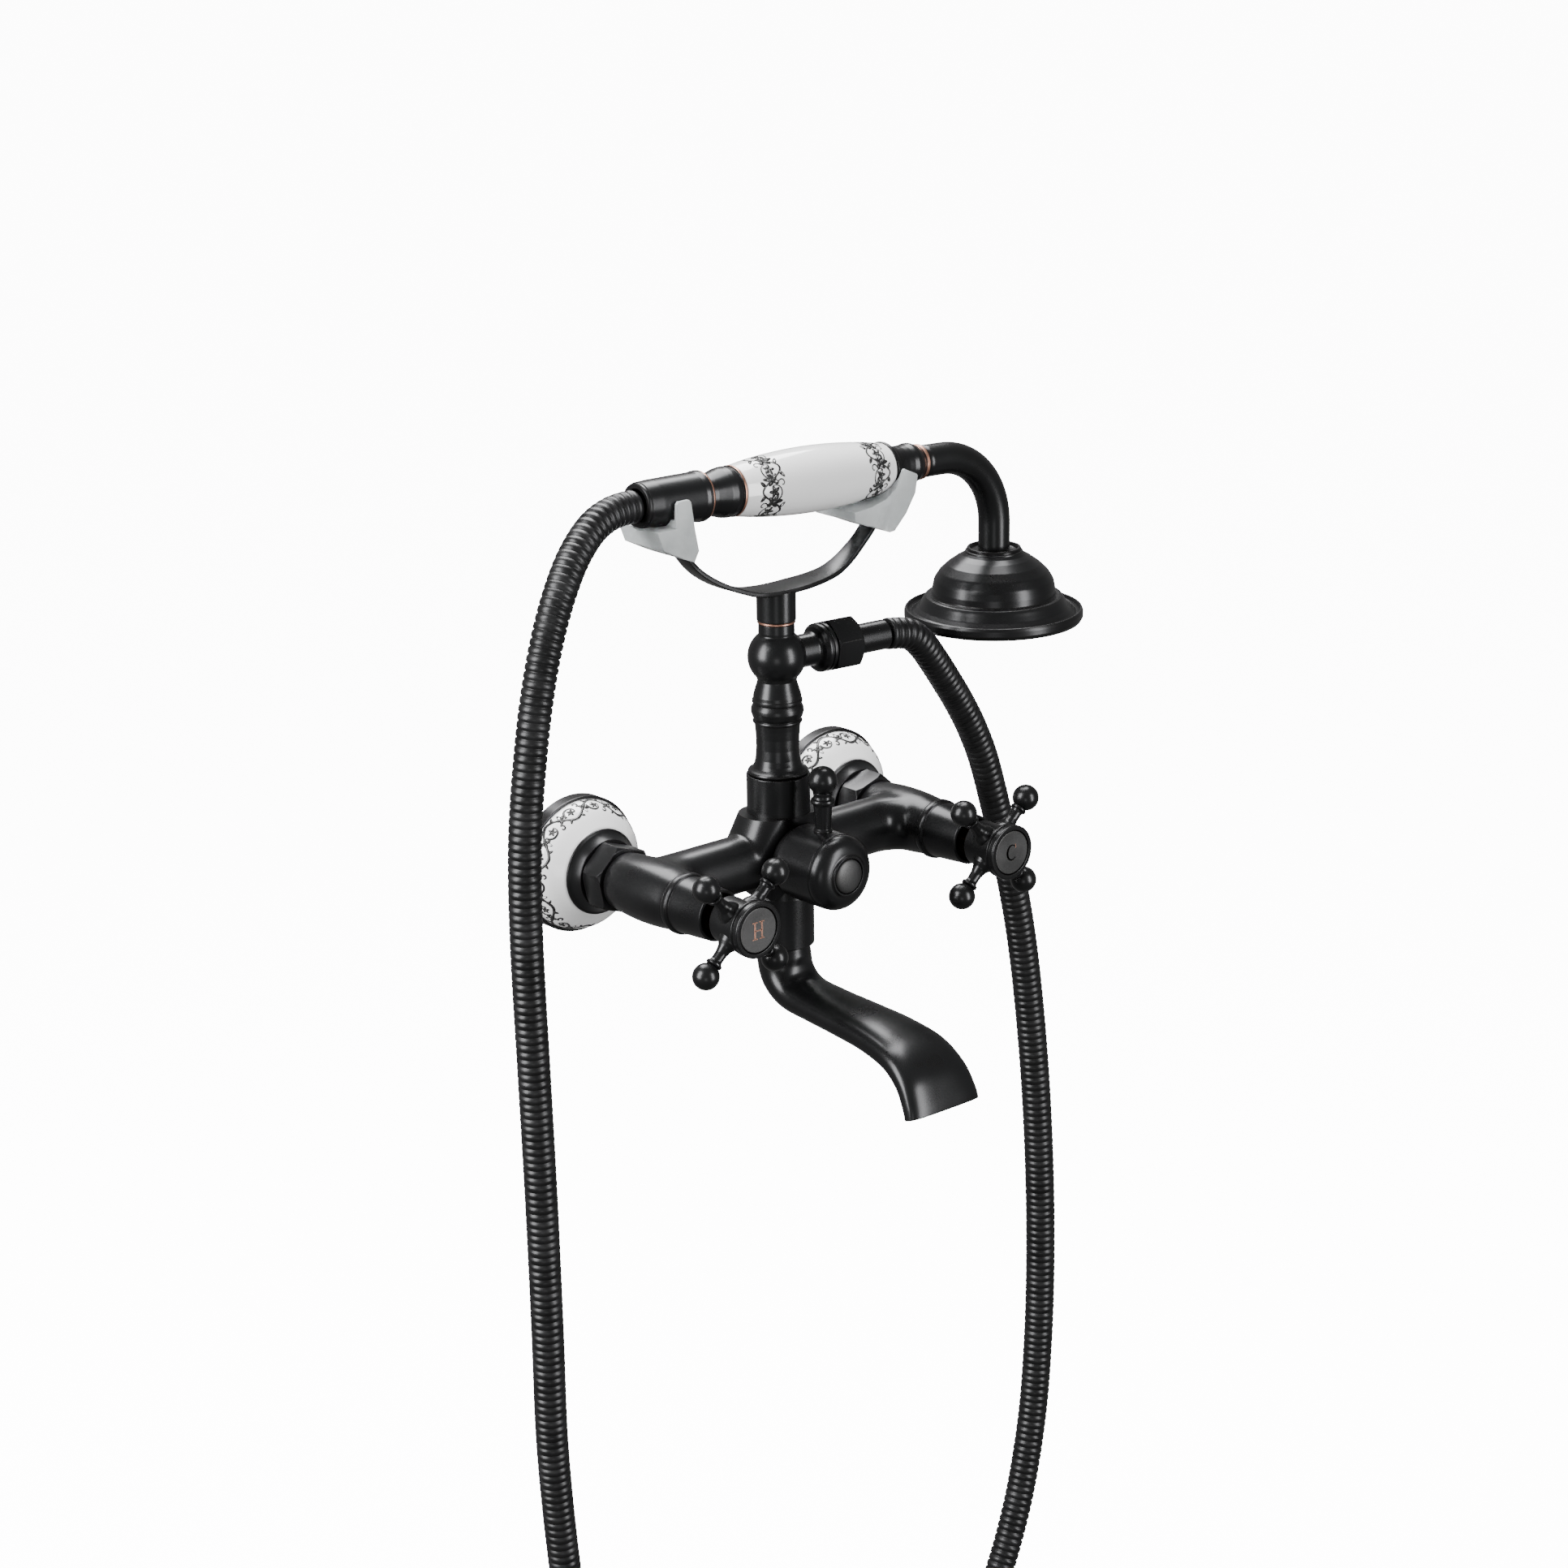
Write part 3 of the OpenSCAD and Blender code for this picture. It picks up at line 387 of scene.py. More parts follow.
def make_materials(colours):
    """Every finish on the mixer, by name."""
    black, copper, glaze = colours.black, colours.copper, colours.glaze
    return {
        "black": finish_material("Oil-rubbed black", [c * 0.94 for c in black],
                                 [c * 1.08 for c in black], 0.8, (0.27, 0.29), bump=0.01),
        "hose": finish_material("Black hose strip", [c * 0.75 for c in black],
                                [c * 1.2 for c in black], 0.75, (0.32, 0.42), 120, 1500, 0.04),
        "face": finish_material("Brushed index face", (0.055, 0.055, 0.055),
                                (0.075, 0.075, 0.075), 0.85, (0.42, 0.5), 90, 2500, 0.08),
        "copper": finish_material("Copper edge", [c * 0.8 for c in copper], list(copper), 1.0,
                                  (0.28, 0.36)),
        "glaze": finish_material("White glaze", [c * 0.98 for c in glaze], list(glaze), 0.0,
                                 (0.1, 0.16), 30, 200, 0.02, Coat_Weight=0.4),
        "print": finish_material("Glazed black print", (0.012, 0.012, 0.013),
                                 (0.03, 0.03, 0.03), 0.0, (0.2, 0.3), 200, 800, 0.01),
        "milky": finish_material("Milky plastic", (0.62, 0.65, 0.66), (0.72, 0.75, 0.75), 0.0,
                                 (0.32, 0.42), 80, 500, 0.02, Transmission_Weight=0.45,
                                 IOR=1.45),
        "brass": finish_material("Turned bronze", (0.06, 0.045, 0.03), (0.09, 0.068, 0.045), 1.0,
                                 (0.25, 0.35)),
        "steel": finish_material("Brushed steel", (0.4, 0.4, 0.41), (0.52, 0.52, 0.53), 1.0,
                                 (0.28, 0.38)),
        "rubber": finish_material("Black rubber", (0.014, 0.014, 0.014), (0.03, 0.03, 0.03),
                                  0.0, (0.6, 0.75), 200, 900, 0.08),
        "nozzle": finish_material("Soft nozzle rubber", (0.09, 0.09, 0.095),
                                  (0.13, 0.13, 0.135), 0.0, (0.5, 0.6), 200, 900, 0.05),
    }


MATERIALS = {}


def material(name):
    """One of the mixer's finishes, made with the panel's colours the first time."""
    if not MATERIALS:
        MATERIALS.update(make_materials(bpy.context.scene.mixer_colours))
    return MATERIALS[name]


# ---- settings ----

class MixerColours(bpy.types.PropertyGroup):
    """The finishes' colours."""
    black: FloatVectorProperty(name="Black finish", description="Colour of the plated metal",
                               subtype="COLOR", default=(0.026, 0.026, 0.027), min=0, max=1)
    copper: FloatVectorProperty(name="Copper", description="Colour of the bare edges and letters",
                                subtype="COLOR", default=(0.62, 0.33, 0.24), min=0, max=1)
    glaze: FloatVectorProperty(name="Glaze", description="Colour of the ceramic",
                               subtype="COLOR", default=(0.86, 0.86, 0.86), min=0, max=1)


class MixerStage(bpy.types.PropertyGroup):
    """The camera's lens, place, aim and roll."""
    lens: FloatProperty(name="Lens", description="Focal length of the camera",
                        default=87.88, min=20, max=200)
    position: FloatVectorProperty(name="Camera", description="Where the camera stands",
                                  subtype="XYZ", unit="LENGTH",
                                  default=(-1.0686, -1.2759, 0.5462))
    target: FloatVectorProperty(name="Target", description="What the camera looks at",
                                subtype="XYZ", unit="LENGTH", default=(0.00015, -0.0577, 0.0327))
    roll: FloatProperty(name="Roll", description="Turn of the camera about its view",
                        subtype="ANGLE", default=math.radians(-0.653))


class MixerSizes(bpy.types.PropertyGroup):
    """Sizes of the details that the frame leaves plain."""
    rib_pitch: FloatProperty(name="Hose rib pitch", description="Distance between hose ribs",
                             default=3.4, min=2, max=6)
    rib_depth: FloatProperty(name="Hose rib depth", description="Depth between hose ribs",
                             default=0.65, min=0.2, max=1.5)
    vine_repeats: IntProperty(name="Vine repeats", description="Waves of the vine on a flange",
                              default=7, min=3, max=12)


# ---- hose ----

# The centre line of the hose, in metres, from the riser's outlet round to the hand shower.
HOSE_ROUTE = [
    (0.06, -0.06, 0.091), (0.0724, -0.061, 0.0889), (0.0812, -0.0606, 0.0826),
    (0.0904, -0.059, 0.0726), (0.102, -0.0565, 0.0589), (0.1117, -0.0545, 0.0466),
    (0.1221, -0.0525, 0.0311), (0.1332, -0.0505, 0.0085), (0.1508, -0.048, -0.044),
    (0.1599, -0.048, -0.084), (0.1658, -0.049, -0.13), (0.1688, -0.051, -0.18),
    (0.1704, -0.052, -0.235), (0.1688, -0.053, -0.29), (0.162, -0.055, -0.34),
    (0.148, -0.057, -0.388), (0.125, -0.059, -0.432), (0.092, -0.061, -0.467),
    (0.052, -0.063, -0.488), (0.008, -0.065, -0.496), (-0.036, -0.066, -0.489),
    (-0.075, -0.067, -0.467), (-0.1055, -0.068, -0.433), (-0.1272, -0.069, -0.389),
    (-0.1398, -0.07, -0.34), (-0.1467, -0.071, -0.29), (-0.1508, -0.071, -0.235),
    (-0.1522, -0.072, -0.18), (-0.1532, -0.072, -0.12), (-0.1549, -0.072, -0.06),
    (-0.1566, -0.072, 0.0), (-0.1557, -0.072, 0.045), (-0.151, -0.072, 0.084),
    (-0.1449, -0.071, 0.111), (-0.1374, -0.069, 0.131), (-0.1286, -0.066, 0.146),
    (-0.1179, -0.062, 0.158), (-0.1045, -0.0575, 0.167), (-0.091, -0.0545, 0.171),
    (-0.0786, -0.054, 0.1717)]
HOSE_D = 14.4


def along_route(line):
    """The distance of each point of the line from its start."""
    travelled = [0.0]
    for a, b in zip(line, line[1:]):
        travelled.append(travelled[-1] + (b - a).length)
    return travelled


class BuildHose(bpy.types.Operator):
    """Build the ribbed hose along its route"""
    bl_idname = "mixer.hose"
    bl_label = "Hose"

    def execute(self, context):
        sizes = context.scene.mixer_sizes
        line = curve_through(HOSE_ROUTE, 10)
        travelled = along_route(line)
        total = travelled[-1]
        ribs = round(total / MM / sizes.rib_pitch)
        pitch = total / MM / ribs
        outer, inner = HOSE_D / 2, HOSE_D / 2 - sizes.rib_depth
        bm = bmesh.new()
        outline = [(0, 0)]
        for k in range(ribs):
            z = k * pitch
            outline += [(inner, z), (outer - 0.08, z + 0.16 * pitch), (outer, z + 0.42 * pitch),
                        (outer - 0.1, z + 0.78 * pitch), (inner, z + 0.9 * pitch)]
        outline += [(inner, total / MM), (0, total / MM)]
        verts = [bm.verts.new((r * MM, 0, z * MM)) for r, z in outline]
        edges = [bm.edges.new(pair) for pair in zip(verts, verts[1:])]
        bmesh.ops.spin(bm, geom=verts + edges, cent=(0, 0, 0), axis=(0, 0, 1), dvec=(0, 0, 0),
                       angle=math.tau, steps=24, use_merge=True, use_duplicate=False)
        bmesh.ops.remove_doubles(bm, verts=bm.verts[:], dist=2e-6)
        turn_outward(bm)
        i = 0
        for vert in sorted(bm.verts, key=lambda v: v.co.z):
            while i < len(line) - 2 and travelled[i + 1] < vert.co.z:
                i += 1
            u = (vert.co.z - travelled[i]) / (travelled[i + 1] - travelled[i])
            before, after = line[max(i - 1, 0)], line[min(i + 2, len(line) - 1)]
            here = (line[i] - before).normalized() if i else (line[1] - line[0]).normalized()
            ahead = (after - line[i + 1]).normalized() if i < len(line) - 2 else \
                (line[-1] - line[-2]).normalized()
            tangent = here.lerp(ahead, u).normalized()
            side = (Vector((0, 1, 0)) - tangent * tangent.y).normalized()
            other = tangent.cross(side)
            vert.co = line[i].lerp(line[i + 1], u) + side * vert.co.x + other * vert.co.y
        turn_outward(bm)
        hose = fit_out(piece("shower_hose", bm), None, "hose", [material("hose")], "hose")
        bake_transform(hose)
        return {"FINISHED"}


# ---- flanges with their printed vine ----

DOME_RIM, DOME_SEAT = radius("flange_cup_left") - 1.3, radius("flange_collar_left") + 0.2
DOME_BACK = out_from_wall("flange_cup_left")[1] - 0.4
DOME_FRONT = out_from_wall("flange_ring_left")[1]


def flange_dome(u):
    """A point (radius, distance) on the ceramic ring's face, from its rim (0) to its seat (1)."""
    swell = math.sin(math.pi * u)
    return (DOME_RIM - (DOME_RIM - DOME_SEAT) * u + 2.2 * swell,
            DOME_BACK + (DOME_FRONT - DOME_BACK) * u + 1.4 * swell * (1 - u))


def stroke(bm, points, width):
    """A flat ribbon along points in the XY plane; width is a function of 0..1 along it."""
    rim = []
    count = len(points)
    for i, point in enumerate(points):
        ahead = points[min(i + 1, count - 1)] - points[max(i - 1, 0)]
        across = Vector((-ahead.y, ahead.x)).normalized() * width(i / (count - 1)) / 2
        pair = [bm.verts.new((*(point + across), 0)), bm.verts.new((*(point - across), 0))]
        if rim:
            bm.faces.new((rim[-1][1], pair[1], pair[0], rim[-1][0]))
        rim.append(pair)


def petal(bm, at, length, width, angle):
    """A pointed oval that starts at a point and lies along an angle."""
    made = bmesh.ops.create_circle(bm, cap_ends=True, segments=10, radius=0.5)["verts"]
    for vert in made:
        along = vert.co.x + 0.5
        vert.co = Vector((along * length, vert.co.y * width * (1.15 - 0.5 * along), 0))
    bmesh.ops.rotate(bm, verts=made, matrix=Matrix.Rotation(angle, 3, "Z"))
    bmesh.ops.translate(bm, verts=made, vec=(*at, 0))


def flower(bm, at, size, turn=0.0):
    """Five petals round a point."""
    for k in range(5):
        petal(bm, at, size, size * 0.62, turn + k * math.tau / 5)


def curl(centre_at, start_radius, end_radius, start_angle, sweep, count=22):
    """Points of a spiral that winds in about a centre."""
    points = []
    for k in range(count):
        u = k / (count - 1)
        angle = start_angle + sweep * u
        size = start_radius + (end_radius - start_radius) * u ** 0.8
        points.append(Vector(centre_at) + Vector((math.cos(angle), math.sin(angle))) * size)
    return points


def vine(length, height, repeats, stem=0.8):
    """A scrolling vine, drawn flat: waves of stem, with curls, leaves and a flower in each bend."""
    bm = bmesh.new()
    wave = length / repeats
    for n in range(repeats):
        start = n * wave
        for half, sign in ((0, 1), (1, -1)):
            left = start + half * wave / 2
            middle = Vector((left + wave * 0.27, -sign * height * 0.02))
            bend = [Vector((left + wave / 2 * u, sign * height * 0.44 * math.sin(math.pi * u)))
                    for u in [k / 14 for k in range(15)]]
            stroke(bm, bend, lambda u: stem * (0.8 + 0.4 * math.sin(math.pi * u)))
            turn = math.pi / 2 if sign > 0 else -math.pi / 2
            inner = curl(middle, height * 0.4, height * 0.2, turn * 0.2, -sign * 4.0)
            stroke(bm, inner, lambda u: stem * (1.05 - 0.5 * u))
            flower(bm, middle, height * 0.23, turn)
            knee = Vector((left, 0))
            for spread, size in ((0.9, 0.3), (0.1, 0.4), (-0.8, 0.3), (2.4, 0.26), (-2.4, 0.26)):
                petal(bm, knee, height * size, height * 0.2, turn + sign * spread)
            tendril = curl(knee + Vector((wave * 0.1, -sign * height * 0.34)), height * 0.17,
                           height * 0.05, turn, sign * 5.0, 14)
            stroke(bm, tendril, lambda u: stem * (0.85 - 0.25 * u))
            petal(bm, bend[4], height * 0.26, height * 0.15, turn + 0.9 * sign)
            petal(bm, bend[10], height * 0.26, height * 0.15, turn - 0.9 * sign)
    bmesh.ops.subdivide_edges(bm, edges=[e for e in bm.edges if e.calc_length() > 1.2], cuts=1)
    return bm


def print_on(name, bm, surface, axis, body, slot, thickness=0.05):
    """Wraps a flat drawing (x round the piece, y along its outline) on a turned surface."""
    for vert in bm.verts:
        angle, place, out = surface(vert.co.x, vert.co.y)
        r, t = place
        vert.co = Vector(((r + out) * math.cos(angle) * MM, (r + out) * math.sin(angle) * MM,
                          t * MM))
    bm.transform(axis)
    turn_outward(bm)
    obj = piece(name, bm)
    skin = obj.modifiers.new("Thickness", "SOLIDIFY")
    skin.thickness = thickness * MM
    skin.offset = 0
    applied(obj)
    return fit_out(obj, body, slot, [material("print")])


class BuildFlanges(bpy.types.Operator):
    """Build the cups, ceramic rings, collars and the printed vine of both flanges"""
    bl_idname = "mixer.flanges"
    bl_label = "Flanges"

    def execute(self, context):
        repeats = context.scene.mixer_sizes.vine_repeats
        cup_r, depth = radius("flange_cup_left"), out_from_wall("flange_cup_left")[1]
        ring_front = out_from_wall("flange_ring_left")[1]
        collar_r = radius("flange_collar_left")
        collar_end = out_from_wall("flange_collar_left")[1]
        for side, axis in INLET_AXIS.items():
            cup = turned([(12.6, 0), (cup_r, 0, 0.3), (cup_r, depth, 0.5),
                          (cup_r - 1.2, depth, 0.3), (cup_r - 1.2, 1.4), (12.6, 1.4)], axis,
                         closed=True)
            black_piece(f"{side}_flange_rim", cup, "base", f"flange_cup_{side}")
            face = [flange_dome(k / 20) for k in range(21)]
            inner = 14.7
            ring = turned([(face[0][0], 1.5), *[(r, t, 0) for r, t in face], (inner, ring_front),
                           (inner, ring_front - 4), (face[0][0] - 6, depth), (face[0][0] - 6, 1.5)],
                          axis, closed=True, segments=128)
            fit_out(piece(f"{side}_flange_ceramic", ring), "base", "ceramic",
                    [material("glaze")], f"flange_ring_{side}")
            h = collar_end - ring_front
            swoop = [(collar_r - 3.8 * u ** 0.62, ring_front + 0.7 + (h - 0.7) * u)
                     for u in [k / 8 for k in range(9)]]
            collar = turned([(13.2, ring_front), (collar_r, ring_front, 0.2), *swoop,
                             (13.2, collar_end)], axis, closed=True)
            black_piece(f"{side}_flange_collar", collar, "base", f"flange_collar_{side}")
            middle_r = flange_dome(0.32)[0]
            drawing = vine(math.tau * middle_r, 9.4, repeats, 1.15)
            turn = math.radians(17 if side == "left" else 40)

            def on_ring(x, y):
                return x / middle_r + turn, flange_dome(0.32 - y / 17), 0.03
            print_on(f"{side}_flange_vine", drawing, on_ring, axis, "base", "ceramic")
        return {"FINISHED"}


# ---- inlets, body and valves ----

class BuildNuts(bpy.types.Operator):
    """Build the coupling nuts and the hose nut with rounded edges"""
    bl_idname = "mixer.nuts"
    bl_label = "Hex nuts"

    def execute(self, context):
        for node, body in (("coupling_nut_left", "base"), ("coupling_nut_right", "base"),
                           ("hose_nut", "riser")):
            nut = softened_copy(node, node + "_finished", 0.35, 18)
            fit_out(nut, body, "black_metal", [material("black")], node)
        return {"FINISHED"}


def rod_between(start, end, size, segments=48):
    """A round bar between two points, in mm."""
    bm = bmesh.new()
    start, end = Vector(start), Vector(end)
    length = (end - start).length
    bmesh.ops.create_cone(bm, cap_ends=True, segments=segments, radius1=size * MM,
                          radius2=size * MM, depth=length * MM)
    bm.transform(axis_along(start * MM, end * MM, (start + end) / 2 * MM))
    return bm


def gusset(low, high, size, reach, bridge_r):
    """The swelling where the hub grows out of the bridge."""
    bm = bmesh.new()
    for z in (low, high):
        ring = bmesh.ops.create_circle(bm, segments=48, radius=size * MM)["verts"]
        bmesh.ops.translate(bm, verts=ring, vec=(0, -BRIDGE_Y * MM, z * MM))
    for x in (-reach, reach):
        ring = bmesh.ops.create_circle(bm, segments=48, radius=bridge_r * MM,
                                       matrix=Matrix.Rotation(math.pi / 2, 4, "Y"))["verts"]
        bmesh.ops.translate(bm, verts=ring, vec=(x * MM, -BRIDGE_Y * MM, 0))
    hull = bmesh.ops.convex_hull(bm, input=bm.verts[:])
    loose = [v for v in hull["geom_interior"] if isinstance(v, bmesh.types.BMVert)]
    bmesh.ops.delete(bm, geom=loose, context="VERTS")
    turn_outward(bm)
    return bm


def arm_radius(t):
    """The valve arm's radius at a distance from the wall."""
    return 14.3 - 1.45 * ((t - 57) / 19.4) ** 2


def elbow(sign, size=12.7):
    """The bend that leads the bridge into a valve arm."""
    bend = ARM_FRONT - BRIDGE_Y - 1
    bm = bmesh.new()
    ring = bmesh.ops.create_circle(bm, segments=48, radius=size * MM,
                                   matrix=Matrix.Rotation(math.pi / 2, 4, "X"))
    bmesh.ops.translate(bm, verts=ring["verts"], vec=(bend * MM, 0, 0))
    bmesh.ops.spin(bm, geom=bm.verts[:] + bm.edges[:], cent=(0, 0, 0), axis=(0, 0, 1),
                   dvec=(0, 0, 0), angle=math.pi / 2, steps=20, use_merge=False)
    close(bm, bm.edges[:])
    if sign < 0:
        bmesh.ops.scale(bm, vec=(-1, 1, 1), verts=bm.verts[:])
    bmesh.ops.translate(bm, verts=bm.verts[:],
                        vec=(sign * (INLET_X - bend) * MM, -(BRIDGE_Y + bend) * MM, 0))
    turn_outward(bm)
    return bm


def cut_flat(bm, at, normal):
    """Cuts a closed shape off along a plane and closes it again."""
    geometry = bm.verts[:] + bm.edges[:] + bm.faces[:]
    cut = bmesh.ops.bisect_plane(bm, geom=geometry, plane_co=at, plane_no=normal,
                                 clear_outer=True)["geom_cut"]
    close(bm, [e for e in cut if isinstance(e, bmesh.types.BMEdge)])


class BuildBody(bpy.types.Operator):
    """Build the body casting with its blended arms, and its turned sockets"""
    bl_idname = "mixer.body"
    bl_label = "Body"

    def execute(self, context):
        hub_top, hub_foot, over = 20.0, -18.0, 9.0
        bridge_r, hub_r = 12.8, 14.0
        root = ARM_BACK + NUT_REACH
        parts = []
        for side, sign in SIDES.items():
            steps = [root + (ARM_FRONT - root) * k / 16 for k in range(17)]
            arm = [(0, steps[0] - over), (arm_radius(steps[0]), steps[0] - over, 0)]
            arm += [(arm_radius(t), t, 0) for t in steps]
            arm += [(arm_radius(ARM_FRONT), ARM_FRONT + over, 0), (0, ARM_FRONT + over)]
            parts.append(turned(arm, INLET_AXIS[side], segments=64))
            parts.append(elbow(sign))
        ends = [(sign * INLET_X, -BRIDGE_Y, 0) for sign in (-1, 1)]
        parts.append(rod_between(*ends, bridge_r))
        parts.append(gusset(hub_top - 1, hub_top + over, hub_r, 23, bridge_r - 0.3))
        parts.append(gusset(hub_foot - over, hub_foot + 4, hub_r, 13, bridge_r - 0.5))
        parts.append(rod_between((0, -BRIDGE_Y, hub_foot - over), (0, -BRIDGE_Y, hub_top + over),
                                 hub_r + 0.4))
        casting = piece("body_casting_finished", joined(parts))
        remesh = casting.modifiers.new("Fused", "REMESH")
        remesh.mode = "VOXEL"
        remesh.voxel_size = 0.0008
        blend = casting.modifiers.new("Blended", "SMOOTH")
        blend.factor = 0.6
        blend.iterations = 26
        applied(casting)
        bm = bmesh.new()
        bm.from_mesh(casting.data)
        cut_flat(bm, (0, 0, hub_top * MM), (0, 0, 1))
        cut_flat(bm, (0, 0, hub_foot * MM), (0, 0, -1))
        cut_flat(bm, (0, -ARM_FRONT * MM, 0), (0, -1, 0))
        cut_flat(bm, (0, -root * MM, 0), (0, 1, 0))
        bm.to_mesh(casting.data)
        bm.free()
        for face in casting.data.polygons:
            face.use_smooth = True
        casting.data.set_sharp_from_angle(angle=math.radians(50))
        fit_out(casting, "base", "black_metal", [material("black")], "body_casting")

        bore = 11.3
        socket = turned([(bore, hub_top - 4), (hub_r, hub_top - 4), (14.2, hub_top + 0.1, 0.3),
                         (14.2, SOCKET_TOP, 0.35), (bore, SOCKET_TOP, 0.2)], RISER_AXIS,
                        closed=True)
        black_piece("riser_socket", socket, "base")
        foot = SPOUT_TOP
        lower = turned([(bore, foot), (14.2, foot, 0.4), (14.2, hub_foot - 0.1, 0.4),
                        (13.4, hub_foot + 4), (bore, hub_foot + 4)], SPOUT_AXIS, closed=True)
        black_piece("spout_socket", lower, "base")
        boss = turned([(8.9, BRIDGE_Y), (15.6, BRIDGE_Y), (15.6, CAP_BACK - 0.4, 0.4),
                       (8.9, CAP_BACK - 0.4)], FORWARD, closed=True)
        black_piece("diverter_boss", boss, "base")
        return {"FINISHED"}


class BuildValves(bpy.types.Operator):
    """Build the turned sleeves over the two valves"""
    bl_idname = "mixer.valves"
    bl_label = "Valve sleeves"

    def execute(self, context):
        for side, axis in INLET_AXIS.items():
            a, b = ARM_FRONT, SLEEVE_FRONT
            sleeve = turned([
                (8.8, a), (12.9, a, 0.1), (12.8, a + 0.7, 0.1), (13.3, a + 1.2, 0.5),
                (13.7, a + 2.2, 1.2), (13.7, a + 3.8, 1.2), (13.2, a + 4.9, 0.5),
                (12.6, a + 5.2, 0.1), (12.6, a + 6.2, 0.2), (11.4, b - 0.4, 0.5),
                (10.6, b, 0.3), (10.1, b, 0.2), (10.1, a + 1.7), (8.8, a + 1.7)], axis,
                closed=True)
            black_piece(f"{side}_valve_sleeve", sleeve, "base", f"valve_sleeve_{side}")
        return {"FINISHED"}


# ---- cross handles ----

def block(size, at, turn=0.0):
    """A small box of size mm at a place, turned about Z."""
    bm = bmesh.new()
    bmesh.ops.create_cube(bm, size=1)
    bmesh.ops.scale(bm, vec=Vector(size) * MM, verts=bm.verts[:])
    bmesh.ops.rotate(bm, verts=bm.verts[:], matrix=Matrix.Rotation(turn, 3, "Z"))
    bmesh.ops.translate(bm, verts=bm.verts[:], vec=Vector(at) * MM)
    return bm


def letter_h(height, z):
    """A seriffed H, drawn in the XY plane."""
    width, stem, hair = height * 0.52, height * 0.13, height * 0.065
    parts = [block((width, hair, 0.16), (0, 0, z))]
    for x in (-width / 2, width / 2):
        parts.append(block((stem, height, 0.16), (x, 0, z)))
        for y in (-height / 2, height / 2):
            parts.append(block((stem * 3, hair, 0.16), (x, y, z)))
    return joined(parts)


def letter_c(height, z):
    """A seriffed C whose stroke swells at the left."""
    bm = bmesh.new()
    previous = None
    for k in range(33):
        angle = math.radians(42 + 276 * k / 32)
        swell = 0.5 + 0.5 * math.cos(angle - math.pi)
        thick = height * (0.05 + 0.11 * swell ** 2)
        out = Vector((math.cos(angle) * height * 0.44, math.sin(angle) * height * 0.5))
        inner = out * (1 - thick / out.length)
        pair = [bm.verts.new((*(p * MM), z * MM)) for p in (out, inner)]
        if previous:
            bm.faces.new((previous[0], pair[0], pair[1], previous[1]))
        previous = pair
    turn_outward(bm)
    bmesh.ops.solidify(bm, geom=bm.faces[:], thickness=0.16 * MM)
    serif = block((height * 0.055, height * 0.26, 0.16), (height * 0.32, height * 0.37, z))
    return joined([bm, serif])


class BuildHandles(bpy.types.Operator):
    """Build the two cross handles with their index faces"""
    bl_idname = "mixer.handles"
    bl_label = "Cross handles"

    def execute(self, context):
        for side, name, letter in (("left", "hot", letter_h), ("right", "cold", letter_c)):
            self.handle(INLET_AXIS[side], name)
            self.face(INLET_AXIS[side], name, letter)
        return {"FINISHED"}

    def handle(self, axis, name):
        """The hub, its rims, and four spokes with balls."""
        a, b = HUB_BACK, HUB_FRONT
        hub = turned([
            (3.6, a), (9.7, a, 0.3), (10.2, a + 0.6, 0.3), (10.2, b - 6.2, 0.5),
            (11.3, b - 5.4, 0.4), (12.3, b - 5, 0.4), (12.4, b - 3.9, 0.4), (11.6, b - 3.4, 0.2),
            (11.6, b - 2.9, 0.2), (12.5, b - 2.5, 0.3), (12.5, b, 0.6), (10.35, b, 0.25),
            (10.3, b - 1.2), (10.3, b - 2.6), (3.6, b - 2.6)], axis, closed=True)
        reach, size, lean = 27.3, 5.95, -1.5
        tip = reach - size
        outline = [(0, 8.6), (5.4, 8.6, 0), (4.7, 10.6, 2), (3.3, 12.6, 3), (2.6, 15.5, 4),
                   (2.55, tip - 2.4, 1), (2.9, tip - 1.4, 0.3), (3.6, tip - 0.9, 0.3),
                   (3.7, tip - 0.2, 0.3), (3.3, tip + 0.4, 0), (0, tip + 0.6)]
        parts = [hub]
        for k in range(4):
            turn = math.radians(45 + lean + 90 * k)
            spoke = axis @ Matrix.Translation((0, 0, (a + 9.2) * MM)) @ \
                Matrix.Rotation(turn, 4, "Z") @ Matrix.Rotation(math.pi / 2, 4, "Y")
            parts.append(turned(outline, spoke, segments=40))
            parts.append(ball(size, spoke @ Matrix.Translation((0, 0, reach * MM)), 40))
        black_piece(f"{name}_cross_handle", joined(parts), f"{name}_handle", f"cross_handle_{name}")

    def face(self, axis, name, letter):
        """The satin disc and its copper letter."""
        b = HUB_FRONT
        disc = turned([(0, b - 2.6), (9.95, b - 2.6, 0), (9.95, b - 0.25, 0.35),
                       (0, b - 0.25)], axis)
        black_piece(f"{name}_index_face", disc, f"{name}_handle", f"index_button_{name}",
                    finish="face")
        mark = letter(7.4, b - 0.25)
        turn_outward(mark)
        mark.transform(axis)
        fit_out(piece(f"{name}_letter", mark, smooth=False), f"{name}_handle", "brass",
                [material("copper")])


# ---- diverter ----

